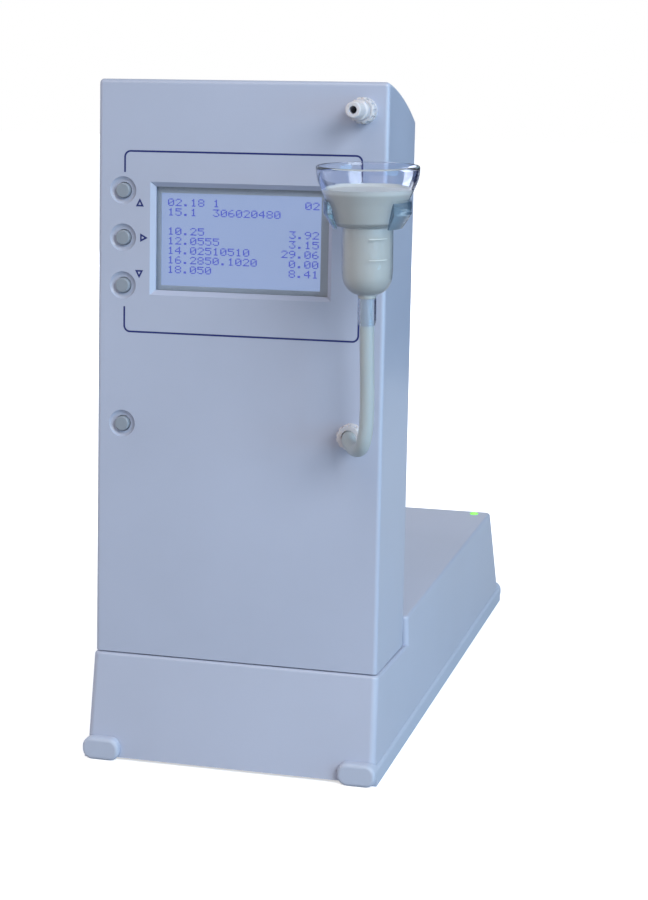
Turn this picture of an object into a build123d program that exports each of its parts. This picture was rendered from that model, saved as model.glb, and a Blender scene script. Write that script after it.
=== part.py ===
"""Bench milk analyzer: a leaning display column on a long base, with a clear sample cup
clipped to its front and fed by a hose into an ultrasonic measuring cell.

Frame: X to the right of someone who faces the display, Y to the rear, Z up.
The origin is on the bench, in the middle of the footprint. Everything is in millimetres.
"""
from build123d import *
from math import atan2, cos, pi, radians, sin, tan
import os

os.makedirs("parts", exist_ok=True)

# Housings
wall = 3.0                      # moulded wall thickness
fit_gap = 0.15                  # clearance between a tongue and the wall that it enters
lean = 3.925                    # the column leans back by this many degrees
column_front = -136.4           # Y of the column's front face where it meets the base
column_width = 130.0
column_draft = 1.1              # the column is this much narrower at its top
column_taper = 2.4              # and this much narrower at its rear
column_depth = 55.7
column_height = 253.4           # front face, measured along the lean
column_rear_height = 238.2      # rear face, up to the kink where the roof starts
roof_crown = (28.5, 248.2)      # highest point of the roof's curve off its chord: depth, height
cover_depth = 13.0              # the front cover is a tray this deep
seam_gap = 0.5                  # shadow line between the column and the base
corner_radius = 1.9

base_lift = 1.4                 # the base's lower edge clears the bench
ledge_front = -137.1            # Y of the front edge of the ledge that the column stands on
ledge_height = 47.1
step_y = -79.0                  # the base steps up behind the column
base_height = 56.9
base_front = -146.4             # front face at its foot
base_rear_top = 122.9
base_rear = 146.9               # rear face at its foot
base_width = 133.5
base_width_top = 131.2
base_corner = 3.0               # radius of the upright corners
step_corner = 2.4               # radius of the upright corners of the step
deck_round = 1.5
shoulder_round = 1.5
cable_opening = (70, 26, 4)     # between column and base: width, depth, corner radius

# Runners under the base's long sides
runner_length = 298.0
runner_width = 14.0
runner_outside = 67.7           # X of the outer face
runner_height = 8.0
runner_round = 1.9              # radius of its outer top edge
toe_width = 17.2                # a domed toe closes each end of a runner
toe_length = 7.0
toe_height = 10.3
toe_round = 4.5                 # radius of its upper corners, seen from the front
toe_crest = 1.7                 # radius of the edge round its outer end
runner_rib = (2.4, 180.0, 5.0)  # a rib inside the base's wall: width, length, height

# Display: a graphic module with 128 by 64 dots, viewed through a chamfered window
display_u = -0.9
display_w = 185.0
view_width, view_height = 72.0, 40.0
window_u, window_w = 0.2, 185.3
window_width, window_height = 81.6, 48.7
window_chamfer = 2.0
pane_size = (88.0, 55.0)
pane_thickness = 1.2
bezel_size = (80.0, 50.0)
bezel_sheet = 0.7
module_size = (92.0, 70.0)
module_depth = 10.0             # the display's board starts this far behind the face

# Buttons in a column on the left
button_u = -53.0
button_heights = {"up_button": 205.7, "right_button": 185.4, "down_button": 164.7, "menu_button": 103.9}
button_radius = 3.25
button_hole_radius = 3.55
button_dish_radius = 6.0
button_dish_depth = 1.3
button_travel = 0.7
switch_board_depth = 9.5

# Hose fittings on the right
upper_port_uw = (54.0, 241.3)
lower_port_uw = (51.5, 104.3)
thread_radius = 4.0
port_bore_radius = 1.65
ring_nut_radius = 5.5
ring_nut_height = 6.0
lug_count = 12
port_reach = 20.0               # the upper port's tip stands this far out
tip_radius = 3.3                # the tip's outside, which a hose slides over

# Sample cup, its collar and its hose
cup_x, cup_y = 63.6, -152.0
cup_rim = 267.8
cup_seat = 243.8                # the neck's step, which sits in the collar
cup_waist = 224.3               # the cylinder ends here in a rounded foot
cup_wall = 1.4
bowl_radius = 20.9
neck_radius = 13.3
tube_radius = 10.5
spout_bottom = 202.9
spout_radius = 3.85
spout_bore = 3.15
collar_radius = 17.9
collar_top = 253.9
collar_opening = 100.0          # degrees, towards the front
cup_clearance = 0.35
hose_radius = 3.0
hose_bore = 2.0
hose_end = 214.0                # the hose's top, inside the spout

# The collar's stud
stud_uw = (55.0, 201.5)
stud_radius = 2.5

# Screws, with the bosses and posts that take them
screw_radius = 1.45
screw_head_radius = 2.8
screw_head_depth = 24.0         # the cover's long screws have their heads this deep in the column
pilot_radius = 1.5              # a screw cuts its thread in a hole of this size
pass_radius = 1.7               # and goes freely through one of this size
small_pilot_radius = 1.05
cover_boss_radius = 3.6
module_post_radius = 2.8
switch_post_radius = 2.5
screw_tube_radius = 4.6         # a tube leads each long screw through the column
head_room_radius = 3.2
base_boss_radius = 4.0
floor_boss_radius = 3.6

# Inside the base
led_x, led_y = 57.3, 117.5
led_radius = 1.5
led_dome = 0.6
board_size = (84.0, 100.0)
board_x, board_y = 0.0, 55.0
board_height = 14.0
board_thickness = 1.6
board_hole_inset = 5.0
transformer_y = -28.0

# Measuring cell inside the column
cell_u = 49.5
cell_width = 20.0
cell_front, cell_back = 26.0, 50.0
cell_bottom, cell_top = 127.0, 213.0
sound_path_depth = 40.5
nipple_depth = 30.5

# Planes that the column's pieces are drawn on
tilt = radians(lean)
inward = Vector(0, cos(tilt), -sin(tilt))
upward = Vector(0, sin(tilt), cos(tilt))
column_foot = Vector(0, column_front, ledge_height)
face = Plane(origin=column_foot, x_dir=(1, 0, 0), z_dir=inward * -1)
flank = Plane(origin=column_foot, x_dir=inward, z_dir=(1, 0, 0))
floor = Plane(origin=column_foot, x_dir=(1, 0, 0), z_dir=upward)
rear_rise = base_height - base_lift
rear_run = base_rear - base_rear_top
rear = Plane(
    origin=(0, (base_rear + base_rear_top) / 2, (base_height + base_lift) / 2),
    x_dir=(-1, 0, 0),
    z_dir=(0, rear_rise, rear_run),
)


def write(piece, name):
    """Label a finished piece and write it as one STEP file."""
    piece.part.label = name
    export_step(piece.part, f"parts/{name}.step")


def at(depth):
    """The plane parallel to the column's face, this far behind it."""
    return face.offset(-depth)


def on(plane, across, up, out=0.0):
    """The same plane, with its origin moved to a place in its own coordinates."""
    return Plane(
        origin=plane.from_local_coords((across, up, out)), x_dir=plane.x_dir, z_dir=plane.z_dir
    )


def drafted(plane, bottom, top, height, reach):
    """A tall wedge that gives a housing its draft. bottom and top hold the half widths at
    the front and the rear of the reach, a range along the plane's second axis."""
    with BuildPart() as wedge:
        for level, (front_half, rear_half) in ((0, bottom), (height, top)):
            with BuildSketch(plane.offset(level)):
                with BuildLine():
                    Polyline(
                        (-front_half, reach[0]), (front_half, reach[0]),
                        (rear_half, reach[1]), (-rear_half, reach[1]), close=True,
                    )
                make_face()
        loft(ruled=True)
    return wedge.part


def column_solid(inset):
    """The column's outer form, drawn in all round by inset."""
    front, back = inset, column_depth - inset
    bottom = seam_gap + inset
    half = column_width / 2 - inset
    with BuildPart() as block:
        with BuildSketch(flank):
            with BuildLine():
                Polyline(
                    (front, column_height - inset), (front, bottom),
                    (back, bottom), (back, column_rear_height - inset),
                )
                ThreePointArc(
                    (back, column_rear_height - inset),
                    (roof_crown[0], roof_crown[1] - inset),
                    (front, column_height - inset),
                )
            make_face()
        extrude(amount=column_width / 2, both=True)
        draft = drafted(
            floor,
            (half, half - column_taper / 2),
            (half - column_draft / 2, half - (column_draft + column_taper) / 2),
            column_height,
            (0, column_depth),
        )
        add(draft, mode=Mode.INTERSECT)
    return block.part


def base_solid(inset, bottom):
    """The base's outer form, drawn in by inset, down to the height bottom."""
    lean_in = inset / cos(atan2(rear_run, rear_rise))
    slope = (ledge_height - base_lift) / (ledge_front - base_front)
    front_foot = base_front + inset - (base_lift - bottom) / slope
    rear_foot = base_rear - lean_in + (base_lift - bottom) * rear_run / rear_rise
    ledge_rear = ledge_height - (step_y - ledge_front) * sin(tilt)
    half, half_top = base_width / 2 - inset, base_width_top / 2 - inset
    with BuildPart() as block:
        with BuildSketch(Plane.YZ):
            with BuildLine():
                Polyline(
                    (front_foot, bottom), (ledge_front + inset, ledge_height - inset),
                    (step_y + inset, ledge_rear - inset), (step_y + inset, base_height - inset),
                    (base_rear_top - lean_in, base_height - inset), (rear_foot, bottom), close=True,
                )
            make_face()
        extrude(amount=base_width / 2, both=True)
        draft = drafted(
            Plane.XY, (half, half), (half_top, half_top), base_height, (base_front - 5, base_rear + 5)
        )
        add(draft, mode=Mode.INTERSECT)
    return block.part


def runner_solid(gap):
    """The right-hand runner with a toe at each end, grown by gap where the base makes room for it."""
    middle = runner_outside - runner_width / 2
    with BuildPart() as toe:
        with BuildSketch(Plane.XZ.offset(runner_length / 2 + gap)) as arch:
            with Locations((runner_outside - toe_width / 2, toe_height / 2)):
                Rectangle(toe_width + 2 * gap, toe_height + 2 * gap)
            fillet(arch.vertices().group_by(Axis.Z)[-1], radius=toe_round)
        extrude(amount=-toe_length - 2 * gap)
        if not gap:
            rim = toe.faces().sort_by(Axis.Y)[0].edges()
            fillet(rim.filter_by(lambda edge: edge.center().Z > 0.1), radius=toe_crest)
    with BuildPart() as rail:
        with BuildSketch(Plane.XY.offset(-gap)):
            with Locations((middle, 0)):
                Rectangle(runner_width + 2 * gap, runner_length - toe_length)
        extrude(amount=runner_height + 2 * gap)
        if not gap:
            crest = rail.edges().filter_by(Axis.Y).group_by(Axis.Z)[-1].sort_by(Axis.X)[-1]
            fillet(crest, radius=runner_round)
        add(toe.part)
        add(mirror(toe.part, about=Plane.XZ, mode=Mode.PRIVATE))
    return rail.part


def is_shoulder(edge):
    """True on the ledge's two long upper edges."""
    place, size = edge.center(), edge.bounding_box().size
    on_ledge = abs(place.Y - (ledge_front + step_y) / 2) < 6 and size.Y > 40
    return on_ledge and place.Z > ledge_height - 8


def is_step_corner(edge):
    """True on the two upright edges of the step behind the ledge."""
    place, size = edge.center(), edge.bounding_box().size
    return abs(place.Y - step_y) < 0.5 and abs(place.X) > 0.4 * base_width and size.Z > 5


def dish_solid(centre):
    """The hollow round a button: steep at its outer edge, level at the button's hole."""
    out = centre.z_dir
    section = Plane(origin=centre.origin, x_dir=centre.x_dir, z_dir=out.cross(centre.x_dir) * -1)
    with BuildPart() as dish:
        with BuildSketch(section):
            with BuildLine():
                Polyline((button_dish_radius, 0), (button_dish_radius, 1), (0, 1), (0, -button_dish_depth))
                Line((0, -button_dish_depth), (button_hole_radius, -button_dish_depth))
                ThreePointArc(
                    (button_hole_radius, -button_dish_depth),
                    (button_dish_radius - 0.75, -0.62 * button_dish_depth),
                    (button_dish_radius, 0),
                )
            make_face()
        revolve(axis=Axis(centre.origin, out))
    return dish.part


# Column
column_outside = column_solid(0)
column_cavity = column_solid(wall)
boss_places = [(-30, 229), (30, 229), (-55, 13), (55, 13)]
module_posts = [(display_u + x, display_w + y) for x in (-43, 43) for y in (-32, 32)]
switch_posts = [(button_u - 0.6, 125.0), (button_u - 0.6, 222.0)]
floor_screw_grid = (96, 24, 2, 2)
cable_depth = 34.0
tongue_reach = 2.5
bracket_holes = [(cell_u - 18, w) for w in (cell_bottom + 16, cell_top - 16)]

with BuildPart() as rounded_column:
    add(column_outside)
    above_seam = rounded_column.edges().filter_by(lambda edge: edge.center().Z > ledge_height + 10)
    fillet(above_seam, radius=corner_radius)

# A tongue round the cover's rim slips into the column housing
with BuildPart() as tongue:
    add(column_cavity)
    add(column_solid(wall + 1.3), mode=Mode.SUBTRACT)
    split(bisect_by=at(cover_depth + tongue_reach), keep=Keep.TOP)
    split(bisect_by=at(cover_depth - 3.0), keep=Keep.BOTTOM)

with BuildPart() as front_cover:
    add(rounded_column.part)
    split(bisect_by=at(cover_depth), keep=Keep.TOP)
    add(column_cavity, mode=Mode.SUBTRACT)
    add(tongue.part)
    # The chamfered window
    with BuildSketch(face):
        with Locations((window_u, window_w)):
            Rectangle(window_width, window_height)
    extrude(amount=-window_chamfer, taper=45, mode=Mode.SUBTRACT)
    with BuildSketch(face):
        with Locations((window_u, window_w)):
            Rectangle(window_width - 2 * window_chamfer, window_height - 2 * window_chamfer)
    extrude(amount=-wall - 1, mode=Mode.SUBTRACT)
    # Bosses for the long screws, posts for the two boards
    with BuildSketch(at(wall)):
        with Locations(*boss_places):
            Circle(cover_boss_radius)
    extrude(amount=-(cover_depth - wall))
    with BuildSketch(at(wall)):
        with Locations(*module_posts):
            Circle(module_post_radius)
    extrude(amount=-(module_depth - wall))
    with BuildSketch(at(wall)):
        with Locations(*switch_posts):
            Circle(switch_post_radius)
    extrude(amount=-(switch_board_depth - wall))
    with BuildSketch(at(1.5 * wall)):
        with Locations(*boss_places):
            Circle(pilot_radius)
        with Locations(*module_posts, *switch_posts):
            Circle(small_pilot_radius)
    extrude(amount=-cover_depth, mode=Mode.SUBTRACT)
    # Each button sits in a round hollow, which is a shallow piece of a torus
    for w in button_heights.values():
        add(dish_solid(on(face, button_u, w)), mode=Mode.SUBTRACT)
    # Holes for the buttons, the fittings and the collar's stud
    with Locations(face):
        with Locations(*[(button_u, w) for w in button_heights.values()]):
            Hole(button_hole_radius, depth=wall + 2)
        with Locations(upper_port_uw, lower_port_uw):
            Hole(thread_radius + 0.1, depth=wall + 2)
        with Locations(stud_uw):
            Hole(stud_radius + 0.1, depth=wall + 2)
write(front_cover, "front_cover")

with BuildPart() as column_housing:
    add(rounded_column.part)
    split(bisect_by=at(cover_depth), keep=Keep.BOTTOM)
    add(column_solid(wall - fit_gap), mode=Mode.SUBTRACT)
    # Tubes that lead the long screws from the rear wall to the cover's bosses
    with BuildSketch(at(column_depth - wall + 0.5)):
        with Locations(*boss_places):
            Circle(screw_tube_radius)
    extrude(amount=column_depth - wall + 0.5 - cover_depth)
    with BuildSketch(at(column_depth + 1)):
        with Locations(*boss_places):
            Circle(head_room_radius)
    extrude(amount=column_depth - screw_head_depth + 1, mode=Mode.SUBTRACT)
    with BuildSketch(at(column_depth)):
        with Locations(*boss_places):
            Circle(pass_radius)
    extrude(amount=column_depth - cover_depth + 1, mode=Mode.SUBTRACT)
    # The floor has a cable opening and four screw holes down into the base
    with BuildSketch(floor):
        with Locations((0, cable_depth)):
            RectangleRounded(*cable_opening)
            with GridLocations(*floor_screw_grid):
                Circle(pass_radius)
    extrude(amount=wall + 2, mode=Mode.SUBTRACT)
    # Pilot holes for the measuring cell's bracket
    with BuildSketch(at(column_depth - wall - 1)):
        with Locations(*bracket_holes):
            Circle(1.25)
    extrude(amount=-wall + 0.2, mode=Mode.SUBTRACT)
write(column_housing, "column_housing")

with BuildPart() as cover_screws:
    with BuildSketch(at(screw_head_depth)):
        with Locations(*boss_places):
            Circle(screw_head_radius)
    extrude(amount=-2.2)
    with BuildSketch(at(screw_head_depth)):
        with Locations(*boss_places):
            Circle(screw_radius)
    extrude(amount=screw_head_depth - wall - 3)
    chamfer(cover_screws.faces().sort_by(Axis.Y)[-4:].edges(), length=0.5)
write(cover_screws, "cover_screws")

with BuildPart() as column_screws:
    with BuildSketch(floor.offset(seam_gap + wall)):
        with Locations((0, cable_depth)):
            with GridLocations(*floor_screw_grid):
                Circle(screw_head_radius)
    extrude(amount=2)
    with BuildSketch(floor.offset(seam_gap + wall)):
        with Locations((0, cable_depth)):
            with GridLocations(*floor_screw_grid):
                Circle(screw_radius)
    extrude(amount=-10)
write(column_screws, "column_screws")

# Base
base_boss_places = [(x, y) for x in (-48.5, 48.5) for y in (-122, 98)]
# Centre of each part of the rear panel, and the size of its body where it goes through the wall
panel_parts = {"inlet": (34.0, 0.0), "switch": (4.0, 0.0), "serial": (-32.0, 0.0)}
panel_bodies = {"inlet": (27.0, 20.0), "switch": (13.0, 19.0), "serial": (20.0, 11.0)}
panel_play = 0.2
serial_screw_grid = (25, 1, 2, 1)

with BuildPart() as base_housing:
    add(base_solid(0, base_lift))
    corners = base_housing.edges().filter_by(lambda edge: edge.bounding_box().size.Z > 40)
    fillet(corners, radius=base_corner)
    step_corners = base_housing.edges().filter_by(is_step_corner)
    fillet(step_corners, radius=step_corner)
    roof = base_housing.faces().filter_by(Axis.Z).sort_by(Axis.Z)[-1]
    fillet(roof.outer_wire().edges(), radius=deck_round)
    # The ledge's long edges are rounded too
    shoulders = base_housing.edges().filter_by(is_shoulder)
    fillet(shoulders, radius=shoulder_round)
    add(base_solid(wall, base_lift - 2), mode=Mode.SUBTRACT)
    # Room for the runners under both long sides
    rebate = runner_solid(0.05)
    add(rebate, mode=Mode.SUBTRACT)
    add(mirror(rebate, about=Plane.YZ, mode=Mode.PRIVATE), mode=Mode.SUBTRACT)
    # Bosses for the bottom plate's screws and for the column's
    for x, y in base_boss_places:
        with BuildSketch(Plane.XY.offset(base_lift + wall)):
            with Locations((x, y)):
                Circle(base_boss_radius)
        roof_height = ledge_height if y < step_y else base_height
        extrude(amount=roof_height - base_lift - 2 * wall)
    with BuildSketch(floor.offset(-1)):
        with Locations((0, cable_depth)):
            with GridLocations(*floor_screw_grid):
                Circle(floor_boss_radius)
    extrude(amount=-10)
    with BuildSketch(Plane.XY):
        with Locations(*base_boss_places):
            Circle(pilot_radius)
    extrude(amount=20, mode=Mode.SUBTRACT)
    with BuildSketch(floor):
        with Locations((0, cable_depth)):
            with GridLocations(*floor_screw_grid):
                Circle(pilot_radius)
    extrude(amount=-9, mode=Mode.SUBTRACT)
    with BuildSketch(floor):
        with Locations((0, cable_depth)):
            RectangleRounded(*cable_opening)
    extrude(amount=-wall - 1, both=True, mode=Mode.SUBTRACT)
    # The lamp's hole, and the cut-outs in the sloping rear panel
    with Locations((led_x, led_y, base_height)):
        Hole(led_radius + 0.02, depth=wall + 1)
    with BuildSketch(rear):
        for name, (width, height) in panel_bodies.items():
            with Locations(panel_parts[name]):
                Rectangle(width + panel_play, height + panel_play)
        with Locations(panel_parts["serial"]):
            with GridLocations(*serial_screw_grid):
                Circle(pass_radius)
    extrude(amount=-wall - 3, mode=Mode.SUBTRACT)
write(base_housing, "base_housing")

board_hole_grid = (board_size[0] - 2 * board_hole_inset, board_size[1] - 2 * board_hole_inset, 2, 2)
with BuildPart() as base_plate:
    plate_front, plate_rear = base_front + wall + 0.9, base_rear - wall - 1.9
    plate_length = plate_rear - plate_front
    plate_half = runner_outside - runner_width - 0.3
    with BuildSketch(Plane.XY.offset(base_lift)):
        with Locations((0, (plate_front + plate_rear) / 2)):
            RectangleRounded(2 * plate_half, plate_length, 2)
        with Locations(*base_boss_places):
            Circle(pass_radius, mode=Mode.SUBTRACT)
        with Locations((0, 30)):
            with GridLocations(60, 9, 1, 7):
                SlotOverall(56, 3, mode=Mode.SUBTRACT)
    extrude(amount=wall)
    with BuildSketch(Plane.XY.offset(base_lift)):
        with Locations(*base_boss_places):
            Circle(3.1)
    extrude(amount=1.4, mode=Mode.SUBTRACT)
    # Standoffs for the main board
    with BuildSketch(Plane.XY.offset(base_lift + wall)):
        with Locations((board_x, board_y)):
            with GridLocations(*board_hole_grid):
                Circle(3)
    extrude(amount=board_height - base_lift - wall)
    with BuildSketch(Plane.XY.offset(board_height)):
        with Locations((board_x, board_y)):
            with GridLocations(*board_hole_grid):
                Circle(small_pilot_radius)
    extrude(amount=-8, mode=Mode.SUBTRACT)
write(base_plate, "base_plate")

with BuildPart() as base_screws:
    with BuildSketch(Plane.XY.offset(base_lift + 0.2)):
        with Locations(*base_boss_places):
            Circle(screw_head_radius)
    extrude(amount=1.2)
    with BuildSketch(Plane.XY.offset(base_lift + 0.2)):
        with Locations(*base_boss_places):
            Circle(screw_radius)
    extrude(amount=14)
write(base_screws, "base_screws")

with BuildPart() as right_runner:
    add(runner_solid(0))
    # A rib stands inside the base's wall and holds the runner in line
    with BuildSketch(Plane.XY.offset(runner_height)):
        with Locations((base_width / 2 - wall - 3.2, 0)):
            Rectangle(*runner_rib[:2])
    extrude(amount=runner_rib[2])
write(right_runner, "right_runner")

with BuildPart() as left_runner:
    add(right_runner.part)
    mirror(about=Plane.YZ, mode=Mode.REPLACE)
write(left_runner, "left_runner")

# Electronics in the base
with BuildPart() as main_board:
    with BuildSketch(Plane.XY.offset(board_height)):
        with Locations((board_x, board_y)):
            Rectangle(*board_size)
            with GridLocations(*board_hole_grid):
                Circle(1.6, mode=Mode.SUBTRACT)
    extrude(amount=board_thickness)
write(main_board, "main_board")

board_top = board_height + board_thickness
with BuildPart() as board_parts:
    # Processor, memory and driver chips, two capacitors and the cable headers
    with BuildSketch(Plane.XY.offset(board_top)):
        with Locations((board_x - 12, board_y + 8)):
            Rectangle(14, 14)
        with Locations((board_x + 14, board_y + 14), (board_x + 14, board_y - 2)):
            Rectangle(18, 8)
    extrude(amount=2.2)
    with BuildSketch(Plane.XY.offset(board_top)):
        with Locations((board_x - 34, board_y - 30), (board_x - 34, board_y - 16)):
            Circle(5)
    extrude(amount=14)
    with BuildSketch(Plane.XY.offset(board_top)):
        with Locations((board_x + 8, board_y - 46), (board_x - 14, board_y + 42)):
            Rectangle(30, 7)
    extrude(amount=8)
write(board_parts, "board_parts")

with BuildPart() as board_screws:
    with Locations((board_x, board_y, board_top)):
        with GridLocations(*board_hole_grid):
            Cylinder(2.4, 1.8, align=(Align.CENTER, Align.CENTER, Align.MIN))
            Cylinder(1.0, 7, align=(Align.CENTER, Align.CENTER, Align.MAX))
write(board_screws, "board_screws")

core_width, core_length, core_height = 54.0, 24.0, 45.0
limb = 9.0
plate_top = base_lift + wall
with BuildPart() as transformer_core:
    # Stacked sheets with two windows, one each side of the middle limb
    with BuildSketch(Plane.XZ.offset(-(transformer_y + core_length / 2))):
        with Locations((0, plate_top + core_height / 2)):
            Rectangle(core_width, core_height)
            with GridLocations(core_width / 2 - limb + 9, 1, 2, 1):
                Rectangle(9, core_height - 2 * limb, mode=Mode.SUBTRACT)
    extrude(amount=core_length)
write(transformer_core, "transformer_core")

with BuildPart() as transformer_coil:
    with BuildSketch(Plane.XY.offset(plate_top + limb + 0.2)):
        with Locations((0, transformer_y)):
            RectangleRounded(core_width - 2 * limb - 0.4, core_length + 16, 5)
            Rectangle(limb * 2 + 0.4, core_length + 0.4, mode=Mode.SUBTRACT)
    extrude(amount=core_height - 2 * limb - 0.4)
write(transformer_coil, "transformer_coil")

# Rear panel: mains inlet, rocker switch and serial port, all square to the sloping face
inlet_plane = on(rear, *panel_parts["inlet"])
switch_plane = on(rear, *panel_parts["switch"])
serial_plane = on(rear, *panel_parts["serial"])
inlet_depth = 16.0

with BuildPart() as power_inlet:
    with BuildSketch(inlet_plane):
        RectangleRounded(31, 25, 2.5)
    extrude(amount=2.2)
    with BuildSketch(inlet_plane):
        Rectangle(*panel_bodies["inlet"])
    extrude(amount=-inlet_depth - 2)
    # The socket's cavity has its two upper corners cut off, as on every plug of this kind
    with BuildSketch(inlet_plane.offset(2.2)):
        with BuildLine():
            Polyline((-12, -8), (12, -8), (12, 3.5), (8, 8), (-8, 8), (-12, 3.5), close=True)
        make_face()
    extrude(amount=-inlet_depth - 2.2, mode=Mode.SUBTRACT)
write(power_inlet, "power_inlet")

with BuildPart() as inlet_pins:
    with BuildSketch(inlet_plane.offset(-inlet_depth)):
        with Locations((-7, -2), (0, 2), (7, -2)):
            Rectangle(2, 4)
    extrude(amount=12)
    chamfer(inlet_pins.faces().sort_by(Axis.Y)[-3:].edges(), length=0.5)
write(inlet_pins, "inlet_pins")

rocker_half, rocker_width = 8.0, 9.0
rocker_axis_depth = 1.0
rocker_tilt = 10.0
rocker_axis = on(switch_plane, 0, 0, -rocker_axis_depth)
rocker_plane = Plane(origin=rocker_axis.origin, x_dir=rear.y_dir, z_dir=rear.x_dir)
tilted_x = rear.y_dir * cos(radians(rocker_tilt)) - rear.z_dir * sin(radians(rocker_tilt))
tilted_plane = Plane(origin=rocker_axis.origin, x_dir=tilted_x, z_dir=rear.x_dir)
with BuildPart() as power_switch:
    with BuildSketch(switch_plane):
        RectangleRounded(15.4, 21.4, 1.5)
    extrude(amount=2.0)
    fillet(power_switch.faces().sort_by(Axis((0, 0, 0), rear.z_dir))[-1].outer_wire().edges(), radius=0.8)
    with BuildSketch(switch_plane):
        Rectangle(*panel_bodies["switch"])
    extrude(amount=-17)
    with BuildSketch(switch_plane.offset(2.0)):
        Rectangle(rocker_width + 0.8, 2 * rocker_half + 1.8)
    extrude(amount=-12, mode=Mode.SUBTRACT)
    # The rocker's trunnions turn in two small holes
    with BuildSketch(rocker_plane):
        Circle(1.06)
    extrude(amount=rocker_width / 2 + 1.3, both=True, mode=Mode.SUBTRACT)
write(power_switch, "power_switch")

with BuildPart() as power_rocker:
    with BuildSketch(tilted_plane):
        with BuildLine():
            Polyline(
                (-rocker_half, -1.5), (-rocker_half, 3.4), (0, 2.2), (rocker_half, 3.4), (rocker_half, -1.5)
            )
            ThreePointArc((rocker_half, -1.5), (0, -5.5), (-rocker_half, -1.5))
        make_face()
    extrude(amount=rocker_width / 2, both=True)
    with BuildSketch(rocker_plane):
        Circle(1.0)
    extrude(amount=rocker_width / 2 + 1.1, both=True)
write(power_rocker, "power_rocker")

with BuildPart() as serial_port:
    with BuildSketch(serial_plane):
        RectangleRounded(31, 12.5, 1.5)
        with GridLocations(*serial_screw_grid):
            Circle(1.6, mode=Mode.SUBTRACT)
    extrude(amount=0.8)
    with BuildSketch(serial_plane):
        Rectangle(*panel_bodies["serial"])
    extrude(amount=-8)
    # The shell is wider at the top, so that a plug goes on one way only
    with BuildSketch(serial_plane):
        with BuildLine():
            Polyline((-8.5, 4.2), (8.5, 4.2), (7.2, -4.2), (-7.2, -4.2), close=True)
        make_face()
    extrude(amount=5.6)
    with BuildSketch(on(serial_plane, 0, 0, 5.6)):
        with Locations((0, 1.4)):
            with GridLocations(2.75, 1, 5, 1):
                Circle(0.55)
        with Locations((0, -1.4)):
            with GridLocations(2.75, 1, 4, 1):
                Circle(0.55)
    extrude(amount=-5, mode=Mode.SUBTRACT)
write(serial_port, "serial_port")

with BuildPart() as serial_posts:
    with BuildSketch(on(serial_plane, 0, 0, 0.8)):
        with GridLocations(*serial_screw_grid):
            RegularPolygon(2.7, 6)
    extrude(amount=4.6)
    with BuildSketch(on(serial_plane, 0, 0, 0.8)):
        with GridLocations(*serial_screw_grid):
            Circle(1.5)
    extrude(amount=-6)
    with BuildSketch(on(serial_plane, 0, 0, 5.4)):
        with GridLocations(*serial_screw_grid):
            Circle(1.3)
    extrude(amount=-4, mode=Mode.SUBTRACT)
write(serial_posts, "serial_posts")

# Lamp on the rear of the base
with BuildPart() as status_led:
    with Locations((led_x, led_y, base_height)):
        Cylinder(led_radius, 6, align=(Align.CENTER, Align.CENTER, Align.MAX))
        Cylinder(led_radius, led_dome, align=(Align.CENTER, Align.CENTER, Align.MIN))
    fillet(status_led.edges().sort_by(Axis.Z)[-1:], radius=0.9 * led_dome)
    with Locations((led_x, led_y, base_height - wall)):
        Cylinder(led_radius + 0.4, 1, align=(Align.CENTER, Align.CENTER, Align.MAX))
write(status_led, "status_led")

# Display, from the front: pane, bezel, glass, backlight, board
display_places = [(display_u, display_w)]
with BuildPart() as display_pane:
    with BuildSketch(at(wall)):
        with Locations((window_u, window_w)):
            Rectangle(*pane_size)
    extrude(amount=-pane_thickness)
write(display_pane, "display_pane")

bezel_front = wall + pane_thickness + 0.2
with BuildPart() as lcd_bezel:
    with BuildSketch(at(bezel_front)):
        with Locations(*display_places):
            Rectangle(*bezel_size)
    extrude(amount=bezel_front - module_depth)
    with BuildSketch(at(bezel_front + bezel_sheet)):
        with Locations(*display_places):
            Rectangle(bezel_size[0] - 2 * bezel_sheet, bezel_size[1] - 2 * bezel_sheet)
    extrude(amount=bezel_front + bezel_sheet - module_depth, mode=Mode.SUBTRACT)
    with BuildSketch(at(bezel_front)):
        with Locations(*display_places):
            Rectangle(view_width, view_height)
    extrude(amount=-bezel_sheet, mode=Mode.SUBTRACT)
write(lcd_bezel, "lcd_bezel")

glass_front = bezel_front + bezel_sheet
glass_thickness = 2.4
with BuildPart() as lcd_glass:
    with BuildSketch(at(glass_front)):
        with Locations(*display_places):
            Rectangle(bezel_size[0] - 2 * bezel_sheet - 0.4, bezel_size[1] - 2 * bezel_sheet - 0.4)
    extrude(amount=-glass_thickness)
write(lcd_glass, "lcd_glass")

with BuildPart() as lcd_backlight:
    with BuildSketch(at(glass_front + glass_thickness)):
        with Locations(*display_places):
            Rectangle(view_width + 4, view_height + 5)
    extrude(amount=glass_front + glass_thickness - module_depth)
write(lcd_backlight, "lcd_backlight")

with BuildPart() as lcd_board:
    with BuildSketch(at(module_depth)):
        with Locations(*display_places):
            Rectangle(*module_size)
        with Locations(*module_posts):
            Circle(1.3, mode=Mode.SUBTRACT)
    extrude(amount=-board_thickness)
    # Driver chips on the rear
    with BuildSketch(at(module_depth + board_thickness)):
        with Locations(*display_places):
            with GridLocations(24, 26, 3, 2):
                Rectangle(15, 11)
    extrude(amount=-2.0)
write(lcd_board, "lcd_board")

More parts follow.
